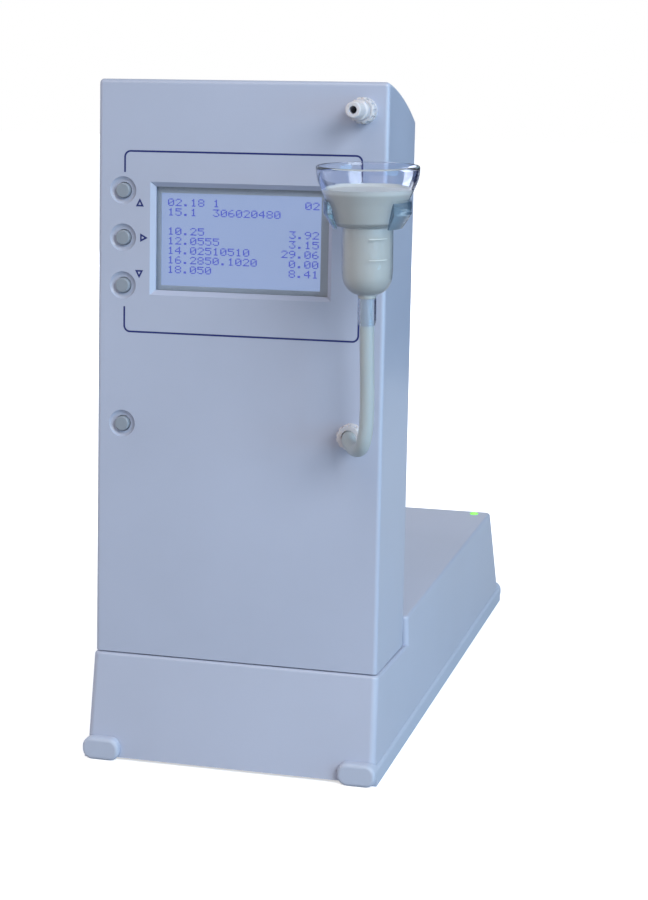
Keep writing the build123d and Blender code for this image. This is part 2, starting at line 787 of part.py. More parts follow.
# Keys: four caps, four plungers, one board
switch_top = 6.0
plunger_front = 5.25
for name, w in button_heights.items():
    key_face = on(face, button_u, w)
    with BuildPart() as button:
        with BuildSketch(key_face.offset(-wall)):
            Circle(button_radius)
        extrude(amount=wall + 0.9)
        cap_edge = button.edges().sort_by(Axis(key_face.origin, key_face.z_dir))[-1:]
        fillet(cap_edge, radius=0.7)
        with BuildSketch(key_face.offset(-wall - 0.25)):
            Circle(button_radius + 1.1)
        extrude(amount=-1.0)
        with BuildSketch(key_face.offset(-wall + 0.01)):
            Circle(1.6)
        extrude(amount=-(plunger_front - wall + 0.01))
    write(button, name)
    with BuildPart() as plunger:
        with BuildSketch(key_face.offset(-plunger_front)):
            Circle(1.6)
        extrude(amount=-1.9)
    write(plunger, name.replace("button", "plunger"))

board_u = button_u - 0.6
with BuildPart() as switch_board:
    with BuildSketch(at(switch_board_depth)):
        with Locations((board_u, 162.5)):
            Rectangle(10.4, 134)
        with Locations(*switch_posts):
            Circle(1.3, mode=Mode.SUBTRACT)
    extrude(amount=-board_thickness)
write(switch_board, "switch_board")

with BuildPart() as key_switches:
    for w in button_heights.values():
        with BuildSketch(at(switch_top)):
            with Locations((button_u, w)):
                Rectangle(6.2, 6.2)
        extrude(amount=switch_top - switch_board_depth)
        with BuildSketch(at(switch_top)):
            with Locations((button_u, w)):
                Circle(1.75)
        extrude(amount=-2.2, mode=Mode.SUBTRACT)
write(key_switches, "key_switches")

with BuildPart() as small_screws:
    for places, board_front in ((module_posts, module_depth), (switch_posts, switch_board_depth)):
        with BuildSketch(at(board_front + board_thickness)):
            with Locations(*places):
                Circle(2.1)
        extrude(amount=-1.5)
        with BuildSketch(at(board_front + board_thickness)):
            with Locations(*places):
                Circle(1.0)
        extrude(amount=6.0)
write(small_screws, "small_screws")

# Hose fittings: a spigot with a ring nut in front of the wall and a lock nut behind it
def turned(place, outline, bore):
    """A turned piece on a fitting's axis. outline holds (radius, distance out of the face)."""
    axis_plane = on(face, *place)
    section = Plane(origin=axis_plane.origin, x_dir=(1, 0, 0), z_dir=upward)
    with BuildPart() as piece:
        with BuildSketch(section):
            with BuildLine():
                Polyline(*[(r, -out) for r, out in outline], close=True)
            make_face()
        revolve(axis=Axis(axis_plane.origin, axis_plane.z_dir))
        if bore:
            with BuildSketch(axis_plane.offset(port_reach + 5)):
                Circle(bore)
            extrude(amount=-60, mode=Mode.SUBTRACT)
    return piece.part


inner_end = -15.0
spigot_radius = hose_bore - 0.05
inner_outline = [(0, inner_end), (spigot_radius, inner_end), (spigot_radius, -8.2), (thread_radius, -8.2)]
upper_outline = inner_outline + [
    (thread_radius, 6.4), (4.1, 6.4), (4.1, 11.0), (tip_radius, 11.6), (tip_radius, port_reach - 0.4),
    (tip_radius - 0.4, port_reach), (0, port_reach),
]
lower_outline = inner_outline + [
    (thread_radius, 2.4), (spigot_radius, 2.4), (spigot_radius, 6.2), (0, 6.2),
]
with BuildPart() as upper_port:
    add(turned(upper_port_uw, upper_outline, port_bore_radius))
write(upper_port, "upper_port")
with BuildPart() as lower_port:
    add(turned(lower_port_uw, lower_outline, 1.2))
write(lower_port, "lower_port")

for level, place in (("upper", upper_port_uw), ("lower", lower_port_uw)):
    nut_face = on(face, *place)
    with BuildPart() as ring_nut:
        with BuildSketch(nut_face):
            Circle(ring_nut_radius)
        extrude(amount=ring_nut_height)
        chamfer(ring_nut.edges().sort_by(Axis(nut_face.origin, nut_face.z_dir))[-1:], length=0.6)
        with BuildSketch(nut_face):
            Circle(thread_radius + 0.08)
        extrude(amount=ring_nut_height if level == "upper" else 3.2, mode=Mode.SUBTRACT)
        with BuildSketch(nut_face):
            Circle(hose_radius + 0.08)
        extrude(amount=ring_nut_height, mode=Mode.SUBTRACT)
        # Slots round the rim leave the lugs that fingers grip
        with BuildSketch(nut_face.offset(1.6)):
            with PolarLocations(ring_nut_radius + 0.35, lug_count):
                Rectangle(1.9, 1.25)
        extrude(amount=ring_nut_height, mode=Mode.SUBTRACT)
    write(ring_nut, f"{level}_ring_nut")
    with BuildPart() as lock_nut:
        with BuildSketch(nut_face.offset(-wall)):
            RegularPolygon(6.2, 6)
            Circle(thread_radius + 0.08, mode=Mode.SUBTRACT)
        extrude(amount=-4)
    write(lock_nut, f"{level}_lock_nut")

# Sample cup: bowl, neck, tube with a rounded foot, and the spout that the hose goes into
seat_shoulder = (neck_radius, cup_seat)
neck_top = (16.0, 252.2)
bowl_middle = (18.5, 257.2)
bowl_side = (bowl_radius, 263.5)
foot_middle = (8.4, 218.5)
foot_end = 215.1                # the foot meets the spout at this height
spout_lip = 0.25                # the spout narrows to this wall at its end
tube_inner = tube_radius - cup_wall
spout_root = cup_waist - 9.6
cup_axis = Axis((cup_x, cup_y, 0), (0, 0, 1))
cup_section = Plane(origin=(cup_x, cup_y, 0), x_dir=(1, 0, 0), z_dir=(0, -1, 0))
with BuildPart() as sample_cup:
    with BuildSketch(cup_section):
        with BuildLine():
            Polyline(
                (spout_bore, spout_bottom), (spout_bore + spout_lip, spout_bottom),
                (spout_radius, spout_bottom + 2.2), (spout_radius, foot_end),
            )
            ThreePointArc((spout_radius, foot_end), foot_middle, (tube_radius, cup_waist))
            Polyline((tube_radius, cup_waist), (tube_radius, cup_seat - 0.6), seat_shoulder, neck_top)
            ThreePointArc(neck_top, bowl_middle, bowl_side)
            Polyline(
                bowl_side, (bowl_radius + 0.2, cup_rim - 0.5), (bowl_radius - 0.2, cup_rim),
                (bowl_radius - cup_wall + 0.4, cup_rim), (bowl_radius - cup_wall, cup_rim - 0.5),
                (bowl_side[0] - cup_wall, bowl_side[1] + 0.3),
            )
            ThreePointArc(
                (bowl_side[0] - cup_wall, bowl_side[1] + 0.3),
                (bowl_middle[0] - cup_wall * 0.8, bowl_middle[1] + cup_wall * 0.6),
                (neck_top[0] - cup_wall, neck_top[1] + 0.5),
            )
            Polyline(
                (neck_top[0] - cup_wall, neck_top[1] + 0.5), (neck_radius - cup_wall, cup_seat + 1.4),
                (tube_inner, cup_seat + 0.6), (tube_inner, cup_waist),
            )
            ThreePointArc(
                (tube_inner, cup_waist), (foot_middle[0] - 1.1, foot_middle[1] + 1.0),
                (spout_bore, foot_end + cup_wall),
            )
            Line((spout_bore, foot_end + cup_wall), (spout_bore, spout_bottom))
        make_face()
    revolve(axis=cup_axis)
write(sample_cup, "sample_cup")

# Collar: a C-shaped ring that the cup's neck nests in, with an arm to the wall and a stud
collar_low = cup_seat - 0.8
neck_room = [
    (neck_radius + cup_clearance, cup_seat - cup_clearance),
    (neck_top[0] + cup_clearance, neck_top[1] - 0.2),
    (neck_top[0] + cup_clearance + 1.15, collar_top),
]
with BuildPart() as cup_holder:
    with BuildSketch(cup_section):
        with BuildLine():
            Polyline(
                (0, collar_low), (14.3, collar_low), (collar_radius, collar_top - 5.2),
                (collar_radius, collar_top), (0, collar_top), close=True,
            )
        make_face()
    revolve(axis=cup_axis)
    # The arm runs back to a pad on the wall
    with BuildSketch(Plane.XY.offset(collar_low + 1.2)):
        with BuildLine():
            Polyline(
                (cup_x - 9, cup_y + 12), (cup_x + 7, cup_y + 12), (stud_uw[0] + 6, column_front + 30),
                (stud_uw[0] - 7, column_front + 30), close=True,
            )
        make_face()
    extrude(amount=collar_top - collar_low - 2.4)
    with BuildSketch(face):
        with Locations(stud_uw):
            RectangleRounded(14, 15, 2)
    extrude(amount=2.2)
    split(bisect_by=face, keep=Keep.TOP)
    with BuildSketch(face):
        with Locations(stud_uw):
            Circle(stud_radius)
    extrude(amount=-9)
    # The neck's room tapers like the neck, and the front is open so that the hose can pass
    with BuildSketch(cup_section):
        with BuildLine():
            Polyline(
                (0, collar_low - 1), (neck_room[0][0], collar_low - 1), *neck_room,
                (neck_room[-1][0], collar_top + 1), (0, collar_top + 1), close=True,
            )
        make_face()
    revolve(axis=cup_axis, mode=Mode.SUBTRACT)
    with BuildSketch(Plane.XY.offset(collar_low - 1)):
        with BuildLine():
            ahead = 2 * collar_radius
            side = ahead * tan(radians(collar_opening / 2))
            Polyline((cup_x, cup_y), (cup_x - side, cup_y - ahead), (cup_x + side, cup_y - ahead), close=True)
        make_face()
    extrude(amount=20, mode=Mode.SUBTRACT)
write(cup_holder, "cup_holder")

# Outer hose: out of the lower fitting, round a tight bend to the right, up into the cup's spout
hose_route = [
    face.from_local_coords((*lower_port_uw, 2.6)),
    face.from_local_coords((*lower_port_uw, 8.8)),
    Vector(57.8, -146.3, 148.0),
    Vector(63.2, -153.4, 152.9),
    Vector(64.2, -152.2, 167.0),
    Vector(cup_x, cup_y, 197.0),
    Vector(cup_x, cup_y, hose_end),
]


def widest_bends(corners):
    """At each corner, the radius of an arc that takes up 0.45 of the shorter run beside it."""
    runs = [after - before for before, after in zip(corners, corners[1:])]
    return [
        0.45 * min(run.length, following.length) / tan(radians(run.get_angle(following) / 2))
        for run, following in zip(runs, runs[1:])
    ]


def hose_along(corners, bends):
    """A hose that follows straight runs joined by tangent arcs."""
    with BuildPart() as tube:
        with BuildLine() as route:
            FilletPolyline(*corners, radius=bends)
        path = route.wire()
        with BuildSketch(Plane(origin=path @ 0, z_dir=path % 0)):
            Circle(hose_radius)
            Circle(hose_bore, mode=Mode.SUBTRACT)
        sweep()
    section = pi * (hose_radius ** 2 - hose_bore ** 2)
    print(f"hose {path.length:.1f} mm long, bends {[round(bend, 1) for bend in bends]} mm,")
    print(f"volume {tube.part.volume:.0f}, section times length {section * path.length:.0f}")
    return tube.part


with BuildPart() as hose:
    add(hose_along(hose_route, widest_bends(hose_route)))
write(hose, "hose")

# Inner hoses join the fittings to the measuring cell
inner_start = 8.4
for name, place, end in (
    ("lower_inner_hose", lower_port_uw, cell_bottom - 0.2),
    ("upper_inner_hose", upper_port_uw, cell_top + 0.2),
):
    u, w = place
    turn = [face.from_local_coords(point) for point in (
        (u, w, -inner_start), (u, w, -nipple_depth), (u, end, -nipple_depth)
    )]
    with BuildPart() as inner_hose:
        add(hose_along(turn, [10.0]))
    write(inner_hose, name)

# Measuring cell: a block with an upright sound path, closed at both ends by a transducer
transducer_radius = 7.0
with BuildPart() as measuring_cell:
    with BuildSketch(floor.offset(cell_bottom)):
        with Locations((cell_u, (cell_front + cell_back) / 2)):
            Rectangle(cell_width, cell_back - cell_front)
    extrude(amount=cell_top - cell_bottom)
    chamfer(measuring_cell.edges().filter_by(Axis((0, 0, 0), upward)), length=1.0)
    with BuildSketch(floor.offset(cell_bottom)):
        with Locations((cell_u, sound_path_depth)):
            Circle(4)
    extrude(amount=cell_top - cell_bottom, mode=Mode.SUBTRACT)
    for end, inwards in ((cell_bottom, 1), (cell_top, -1)):
        u = lower_port_uw[0] if inwards > 0 else upper_port_uw[0]
        with BuildSketch(floor.offset(end)):
            with Locations((cell_u, sound_path_depth)):
                Circle(transducer_radius + 0.05)
        extrude(amount=inwards * 5.0, mode=Mode.SUBTRACT)
        with BuildSketch(floor.offset(end)):
            with Locations((u, nipple_depth)):
                Circle(2.3)
        extrude(amount=inwards * 11.0, mode=Mode.SUBTRACT)
        with BuildSketch(at(nipple_depth)):
            with Locations((u, end + inwards * 9.5)):
                Circle(1.4)
        extrude(amount=nipple_depth - sound_path_depth - 1, mode=Mode.SUBTRACT)
write(measuring_cell, "measuring_cell")

for name, end, inwards in (("lower_transducer", cell_bottom, 1), ("upper_transducer", cell_top, -1)):
    with BuildPart() as transducer:
        with BuildSketch(floor.offset(end + inwards * 5.0)):
            with Locations((cell_u, sound_path_depth)):
                Circle(transducer_radius)
        extrude(amount=-inwards * 8.0)
        with BuildSketch(floor.offset(end + inwards * 5.0)):
            with Locations((cell_u, sound_path_depth)):
                Circle(3.9)
        extrude(amount=inwards * 2.0)
    write(transducer, name)

with BuildPart() as cell_nipples:
    for u, end, inwards in ((lower_port_uw[0], cell_bottom, 1), (upper_port_uw[0], cell_top, -1)):
        for radius, reach in ((2.25, 7.0), (spigot_radius, -7.0)):
            with BuildSketch(floor.offset(end)):
                with Locations((u, nipple_depth)):
                    Circle(radius)
            extrude(amount=inwards * reach)
        with BuildSketch(floor.offset(end + inwards * 8)):
            with Locations((u, nipple_depth)):
                Circle(1.2)
        extrude(amount=-inwards * 16, mode=Mode.SUBTRACT)
write(cell_nipples, "cell_nipples")

bracket_sheet = 2.0
with BuildPart() as cell_bracket:
    with BuildSketch(at(cell_back)):
        with Locations((cell_u - 7, (cell_bottom + cell_top) / 2)):
            RectangleRounded(cell_width + 14, cell_top - cell_bottom - 16, 3)
        with Locations(*bracket_holes):
            Circle(1.7, mode=Mode.SUBTRACT)
    extrude(amount=-bracket_sheet - 0.5)
write(cell_bracket, "cell_bracket")

with BuildPart() as bracket_screws:
    with BuildSketch(at(cell_back)):
        with Locations(*bracket_holes):
            Circle(2.6)
    extrude(amount=1.8)
    with BuildSketch(at(cell_back)):
        with Locations(*bracket_holes):
            Circle(1.2)
    extrude(amount=-4.4)
write(bracket_screws, "bracket_screws")

with BuildPart() as cell_heater:
    heater_face = Plane(
        origin=face.from_local_coords((cell_u - cell_width / 2, (cell_bottom + cell_top) / 2, -38.0)),
        x_dir=inward, z_dir=(-1, 0, 0),
    )
    with BuildSketch(heater_face):
        RectangleRounded(14, 50, 2)
    extrude(amount=2.4)
write(cell_heater, "cell_heater")

with BuildPart() as temperature_probe:
    with BuildSketch(on(heater_face, 0, 33)):
        Circle(2.0)
    extrude(amount=5)
write(temperature_probe, "temperature_probe")
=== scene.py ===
# %% [markdown]
# # A bench milk analyzer
# A leaning display column stands on a long base. A clear cup in a C-shaped collar feeds milk
# through a hose into a measuring cell inside the column. The construction is loaded as a fixed
# frame, in metres, with X to the right, Y to the rear and Z up. This script gives every part its
# finish and adds what is printed, poured or lit: the navy line round the display, the dots on
# it and the milk.

# %% The frame and the tools
import math
import bmesh
import bpy
from mathutils import Matrix, Vector


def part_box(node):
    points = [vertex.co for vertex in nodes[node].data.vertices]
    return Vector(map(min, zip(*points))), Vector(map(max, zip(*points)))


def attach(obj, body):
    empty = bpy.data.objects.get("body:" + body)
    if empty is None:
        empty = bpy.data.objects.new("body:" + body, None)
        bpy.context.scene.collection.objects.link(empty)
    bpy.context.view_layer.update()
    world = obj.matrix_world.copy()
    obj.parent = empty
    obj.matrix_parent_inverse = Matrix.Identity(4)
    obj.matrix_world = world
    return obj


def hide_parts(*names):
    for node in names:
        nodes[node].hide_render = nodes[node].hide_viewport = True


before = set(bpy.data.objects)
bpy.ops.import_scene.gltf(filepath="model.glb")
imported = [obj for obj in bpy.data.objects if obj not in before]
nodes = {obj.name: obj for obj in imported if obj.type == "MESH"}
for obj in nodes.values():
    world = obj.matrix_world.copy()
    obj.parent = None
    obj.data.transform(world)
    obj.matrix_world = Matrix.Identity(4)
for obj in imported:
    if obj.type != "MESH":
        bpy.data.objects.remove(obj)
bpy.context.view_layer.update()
scene = bpy.context.scene
scene.view_settings.view_transform = "Standard"
MM = 0.001
print("frame loaded with", len(nodes), "nodes")

# %% [markdown]
# ## The camera
# A real camera has a place, a direction and a lens. These were worked out from the edges of the
# column and the base, whose real lengths follow from the display module. Keeping them as plain
# values shows what each one does: yaw turns to the left, pitch looks down, and roll is the small
# tilt of a hand-held shot.

# %% Camera
CAMERA_PLACE = Vector((0.2635, -0.9438, 0.3313))
YAW, PITCH, ROLL = math.radians(15.39), math.radians(12.48), math.radians(0.14)
FOCAL_LENGTH, SENSOR_HEIGHT = 80.66, 36.0   # millimetres

lens = bpy.data.cameras.new("camera")
lens.sensor_fit = "VERTICAL"
lens.sensor_height = SENSOR_HEIGHT
lens.lens = FOCAL_LENGTH
lens.clip_start, lens.clip_end = 0.05, 20.0
camera = bpy.data.objects.new("camera", lens)
scene.collection.objects.link(camera)
turn = (
    Matrix.Rotation(YAW, 4, "Z")
    @ Matrix.Rotation(math.pi / 2 - PITCH, 4, "X")
    @ Matrix.Rotation(ROLL, 4, "Z")
)
camera.matrix_world = Matrix.Translation(CAMERA_PLACE) @ turn
scene.camera = camera
print("camera stands", round(CAMERA_PLACE.length, 2), "m from the origin")

# %% [markdown]
# ## Floor, backdrop and light
# A product photograph of a pale instrument has a white ground and soft light from large sources.
# The floor and the world look white to the camera, but they light the object at a plain level,
# so pale plastic doesn't burn out. The floor still takes the shadow.
#
# A few helpers come first, because every material needs them.

# %% Node helpers
def new_material(name):
    """A new material, its node tree and its Principled shader."""
    material = bpy.data.materials.new(name)
    material.use_nodes = True
    tree = material.node_tree
    return material, tree, tree.nodes["Principled BSDF"]


def node(tree, kind, **inputs):
    """A node with named inputs set. Underscores in a name stand for spaces."""
    made = tree.nodes.new(kind)
    for key, value in inputs.items():
        made.inputs[key.replace("_", " ")].default_value = value
    return made


def linear(red, green, blue):
    """A colour given as 0 to 255 on a screen, turned into the renderer's linear values."""
    steps = [c / 255 for c in (red, green, blue)]
    return tuple(c / 12.92 if c < 0.04045 else ((c + 0.055) / 1.055) ** 2.4 for c in steps) + (1.0,)


def math_node(tree, operation, first, second):
    """One step of arithmetic on two sockets or numbers. Gives the result's socket."""
    step = tree.nodes.new("ShaderNodeMath")
    step.operation = operation
    for place, value in zip(step.inputs, (first, second)):
        if isinstance(value, (int, float)):
            place.default_value = value
        else:
            tree.links.new(value, place)
    return step.outputs[0]


# %% [markdown]
# The Light Path node tells a material which kind of ray has met it. The white of the ground is
# only for rays that end up in the picture directly or through clear plastic. A gloss shows it
# too, but more dimly, as the far walls of a room would be.

# %% Which rays see the white ground
MIRRORED_GROUND = 0.25          # how much of the white a gloss shows


def sees_ground(tree):
    """How much of the white ground a ray sees: all of it straight on or through clear plastic, some
    of it in a gloss, and none once it has scattered, so the ground lights nothing."""
    path = tree.nodes.new("ShaderNodeLightPath")
    gloss = math_node(tree, "MULTIPLY", path.outputs["Is Glossy Ray"], MIRRORED_GROUND)
    bent = math_node(tree, "MAXIMUM", path.outputs["Is Transmission Ray"], gloss)
    unscattered = math_node(tree, "LESS_THAN", path.outputs["Diffuse Depth"], 0.5)
    clean = math_node(tree, "MULTIPLY", bent, unscattered)
    return math_node(tree, "MAXIMUM", path.outputs["Is Camera Ray"], clean)


# %% Making a piece from a bmesh
def add_mesh(name, bm, material, body="root", smooth_angle=None):
    """Turn a bmesh into a piece that rides on a body, with one material. Edges that are flatter
    than the angle, in degrees, are shaded smooth."""
    bmesh.ops.recalc_face_normals(bm, faces=bm.faces)
    mesh = bpy.data.meshes.new(name)
    if smooth_angle is not None:
        limit = math.radians(smooth_angle)
        for face in bm.faces:
            face.smooth = True
        for edge in bm.edges:
            edge.smooth = len(edge.link_faces) == 2 and edge.calc_face_angle(0) < limit
    bm.to_mesh(mesh)
    bm.free()
    piece = bpy.data.objects.new(name, mesh)
    scene.collection.objects.link(piece)
    mesh.materials.append(material)
    if body:
        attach(piece, body)
    return piece


# %% [markdown]
# The floor throws back less light than it shows, as if the paper were small and the room dark.
# To the camera it adds a glow, which is weak round the object, where the shadow falls, and fills
# up to pure white further out.

# %% Floor
FLOOR_WIDTH = 8.0
FLOOR_THROWN, FLOOR_SHOWN = linear(176, 178, 183), linear(234, 237, 243)
GLOW_NEAR, GLOW_STARTS, GLOW_FULL = 0.58, 0.15, 0.5     # a strength and two distances in metres

floor_material, tree, shader = new_material("pale_floor")
shader.inputs["Roughness"].default_value = 0.9
path = tree.nodes.new("ShaderNodeLightPath")
seen = math_node(tree, "MAXIMUM", path.outputs["Is Camera Ray"], path.outputs["Is Transmission Ray"])
shade = tree.nodes.new("ShaderNodeValToRGB")
shade.color_ramp.elements[0].color = FLOOR_THROWN
shade.color_ramp.elements[1].color = FLOOR_SHOWN
tree.links.new(seen, shade.inputs["Fac"])
tree.links.new(shade.outputs["Color"], shader.inputs["Base Color"])
place = tree.nodes.new("ShaderNodeTexCoord")
reach = node(tree, "ShaderNodeVectorMath")
reach.operation = "LENGTH"
tree.links.new(place.outputs["Object"], reach.inputs[0])
fade = node(
    tree, "ShaderNodeMapRange", From_Min=GLOW_STARTS, From_Max=GLOW_FULL, To_Min=GLOW_NEAR, To_Max=1.0
)
tree.links.new(reach.outputs["Value"], fade.inputs["Value"])
lift = math_node(tree, "MULTIPLY", sees_ground(tree), fade.outputs["Result"])
shader.inputs["Emission Color"].default_value = (1, 1, 1, 1)
tree.links.new(lift, shader.inputs["Emission Strength"])
ground = bmesh.new()
bmesh.ops.create_grid(ground, x_segments=1, y_segments=1, size=FLOOR_WIDTH / 2)
floor_piece = add_mesh("floor", ground, floor_material, body=None)
print("the floor is", FLOOR_WIDTH, "m wide")

# %% [markdown]
# The world behind the floor is just as white to the camera. The object gets no more from it than
# a faint blue light from all round.

# %% World
ROOM_AIR, ROOM_STRENGTH = (0.6, 0.84, 1.0, 1), 0.15

world = bpy.data.worlds.new("studio")
scene.world = world
world.use_nodes = True
tree = world.node_tree
air = tree.nodes["Background"]
air.inputs["Color"].default_value = ROOM_AIR
air.inputs["Strength"].default_value = ROOM_STRENGTH
white = node(tree, "ShaderNodeBackground", Color=(1, 1, 1, 1), Strength=1.0)
mixed = tree.nodes.new("ShaderNodeMixShader")
tree.links.new(sees_ground(tree), mixed.inputs[0])
tree.links.new(air.outputs[0], mixed.inputs[1])
tree.links.new(white.outputs[0], mixed.inputs[2])
tree.links.new(mixed.outputs[0], tree.nodes["World Output"].inputs["Surface"])
print("the world's light is", ROOM_STRENGTH, "strong")

# %% [markdown]
# The key light is a window of two panes, high on the right. Daylight is blue from the right side,
# and the room is warm from the left and the front. Nothing large stands where the display would
# mirror it. The last two lamps stand low, so that they light only the back and the left. They
# leave no highlight, because the base's flat top would mirror the one at the back as a glare.

# %% Lamps
LIT_POINT = Vector((0, -0.12, 0.15))


def soft_lamp(name, azimuth, elevation, distance, width, height, power, colour, mirrored=True):
    """A square lamp like a softbox, aimed at the column. Azimuth 0 is straight in front of the
    face, and positive to the right. Angles are in degrees. A lamp that isn't mirrored gives light
    but no highlights."""
    turn, rise = math.radians(azimuth), math.radians(elevation)
    offset = Vector((math.sin(turn) * math.cos(rise), -math.cos(turn) * math.cos(rise), math.sin(rise)))
    lamp = bpy.data.lights.new(name, "AREA")
    lamp.shape = "RECTANGLE"
    lamp.size, lamp.size_y = width, height
    lamp.energy = power
    lamp.color = colour
    holder = bpy.data.objects.new(name, lamp)
    holder.location = LIT_POINT + offset * distance
    holder.rotation_euler = (-offset).to_track_quat("-Z", "Y").to_euler()
    holder.visible_glossy = mirrored
    scene.collection.objects.link(holder)


WINDOW_LIGHT, ROOM_LIGHT, SKY_LIGHT = (0.93, 0.99, 1.0), (1.0, 0.66, 0.46), (0.28, 0.72, 1.0)
# Name, azimuth, elevation, metres away, width, height, watts, colour
soft_lamp("window_left_pane", 41, 32, 1.9, 0.5, 0.9, 13.8, WINDOW_LIGHT)
soft_lamp("window_right_pane", 59, 32, 1.9, 0.5, 0.9, 12.8, WINDOW_LIGHT)
soft_lamp("front_fill", -12, 50, 1.9, 1.3, 0.9, 5.4, (1.0, 0.74, 0.52))
soft_lamp("left_fill", -45, 30, 1.9, 0.9, 0.9, 2.6, ROOM_LIGHT)
soft_lamp("side_lamp", 68, 5, 1.5, 0.8, 0.5, 5.6, SKY_LIGHT)
soft_lamp("ceiling_lamp", 0, 70, 1.9, 1.2, 1.2, 5.3, (0.94, 0.97, 1.0))
soft_lamp("rear_lamp", 176, 32, 2.0, 1.2, 0.8, 3.4, (1.0, 0.94, 0.98))
soft_lamp("low_rear_lamp", 165, 17, 2.0, 1.2, 0.5, 1.2, SKY_LIGHT)
soft_lamp("back_fill", 205, 7, 1.9, 1.6, 0.5, 11.0, (1.0, 0.97, 0.96), mirrored=False)
soft_lamp("far_left_fill", 268, 9, 1.9, 1.2, 0.6, 12.0, (0.96, 0.97, 1.0), mirrored=False)
watts = sum(lamp.energy for lamp in bpy.data.lights)
print(len(bpy.data.lights), "lamps give", round(watts, 1), "watts")

# %% [markdown]
# Clear plastic on a white ground loses its edge. Photographers stand a dark card beside the glass,
# outside the picture: the thick rim bends light, so it shows the card as a dark line, while flat
# walls show nothing of it. This card is met only by rays that come off a gloss or out of clear
# plastic, so it casts no shadow, takes no part in the light and can't be seen itself.

# %% The dark card
CUP_MIDDLE = Vector((0.0636, -0.152, 0.25))
CARD_AZIMUTH, CARD_DISTANCE, CARD_DROP = math.radians(160), 0.6, 0.06
CARD_WIDTH, CARD_HEIGHT = 0.5, 0.24

card_material, tree, shader = new_material("dark_card")
shader.inputs["Base Color"].default_value = linear(28, 34, 70)
shader.inputs["Roughness"].default_value = 0.9
card_shape = bmesh.new()
bmesh.ops.create_grid(card_shape, x_segments=1, y_segments=1, size=0.5)
bmesh.ops.scale(card_shape, verts=card_shape.verts, vec=(CARD_WIDTH, CARD_HEIGHT, 1))
from_cup = Vector((math.sin(CARD_AZIMUTH), -math.cos(CARD_AZIMUTH), 0)) * CARD_DISTANCE
card_turn = from_cup.to_track_quat("Z", "Y").to_matrix().to_4x4()
card_place = CUP_MIDDLE + from_cup + Vector((0, 0, -CARD_DROP))
card_shape.transform(Matrix.Translation(card_place) @ card_turn)
card = add_mesh("dark_card", card_shape, card_material, body=None)
card.visible_camera = card.visible_diffuse = card.visible_shadow = False
print("the card stands at", [round(c, 3) for c in card_place])

# %% [markdown]
# ## Finishes
# No real surface has one flat colour, so nearly every finish here starts the same way: a noise in
# the object's own space mixes two tones that lie close together. What differs is the size of the
# pattern, its stretch and the colours.

# %% Two tones
def mottled(tree, low, high, scale, detail, into, roughness=0.5, stretch=None, spread=(0, 1)):
    """Mix two colours by a noise in the object's own space, into one socket. A stretch above 1
    squeezes the pattern along that axis, and the spread says between which levels of the noise
    the colour changes. Gives the noise."""
    place = tree.nodes.new("ShaderNodeTexCoord")
    noise = node(tree, "ShaderNodeTexNoise", Scale=scale, Detail=detail, Roughness=roughness)
    from_place = place.outputs["Object"]
    if stretch:
        drawn = tree.nodes.new("ShaderNodeMapping")
        drawn.inputs["Scale"].default_value = stretch
        tree.links.new(from_place, drawn.inputs["Vector"])
        from_place = drawn.outputs["Vector"]
    tree.links.new(from_place, noise.inputs["Vector"])
    shade = tree.nodes.new("ShaderNodeValToRGB")
    for stop, position, colour in zip(shade.color_ramp.elements, spread, (low, high)):
        stop.position, stop.color = position, colour
    tree.links.new(noise.outputs["Fac"], shade.inputs["Fac"])
    tree.links.new(shade.outputs["Color"], into)
    return noise


def scaled(colour, factor):
    """The same colour, lighter or darker."""
    return tuple(min(1, c * factor) for c in colour[:3]) + (1,)


def bumped(tree, noise, shader, strength, distance):
    """Let a noise raise and lower the surface a little."""
    bump = node(tree, "ShaderNodeBump", Strength=strength, Distance=distance)
    tree.links.new(noise.outputs["Fac"], bump.inputs["Height"])
    tree.links.new(bump.outputs["Normal"], shader.inputs["Normal"])


def uneven_gloss(tree, noise, shader, low, high):
    """Let a noise drive the roughness between two values."""
    gloss = node(tree, "ShaderNodeMapRange", To_Min=low, To_Max=high)
    tree.links.new(noise.outputs["Fac"], gloss.inputs["Value"])
    tree.links.new(gloss.outputs["Result"], shader.inputs["Roughness"])


# %% [markdown]
# The housings are moulded in pale lilac-grey plastic. A spark-eroded mould leaves a fine grain,
# so a small noise drives the bump, and a broad, faint one shifts the colour and the gloss a
# little, as handling and moulding flow do. The same recipe with other numbers makes the runners,
# the keys and the black plastics.

# %% Moulded plastic
def moulded(name, colour, roughness, grain=0.15, grain_size=0.9, drift=0.03, coat=0.0):
    """Moulded plastic: fine grain in the bump, broad drift in colour and gloss. Sizes in mm."""
    material, tree, shader = new_material(name)
    base = linear(*colour)
    broad = mottled(
        tree, scaled(base, 1 - drift), scaled(base, 1 + drift), scale=14.0, detail=3.0,
        into=shader.inputs["Base Color"], spread=(0.3, 0.7),
    )
    uneven_gloss(tree, broad, shader, low=roughness - 0.05, high=roughness + 0.05)
    place = tree.nodes.new("ShaderNodeTexCoord")
    fine = node(tree, "ShaderNodeTexNoise", Scale=1000.0 / grain_size, Detail=2.0, Roughness=0.6)
    tree.links.new(place.outputs["Object"], fine.inputs["Vector"])
    bumped(tree, fine, shader, strength=grain, distance=0.0002)
    shader.inputs["Coat Weight"].default_value = coat
    shader.inputs["Coat Roughness"].default_value = 0.16
    return material


shell_plastic = moulded("shell_plastic", (176, 184, 208), 0.37, coat=0.15)
# The base is a shade lighter than the column: a separate moulding, and painted light for its front,
# which leans back more and catches more light from above.
base_plastic = moulded("base_plastic", (180, 187, 210), 0.4, coat=0.1)
runner_plastic = moulded("runner_plastic", (184, 192, 214), 0.5)
plate_plastic = moulded("plate_plastic", (150, 156, 172), 0.6, grain=0.3)
key_plastic = moulded("key_plastic", (140, 149, 163), 0.38, grain=0.1, grain_size=0.5)

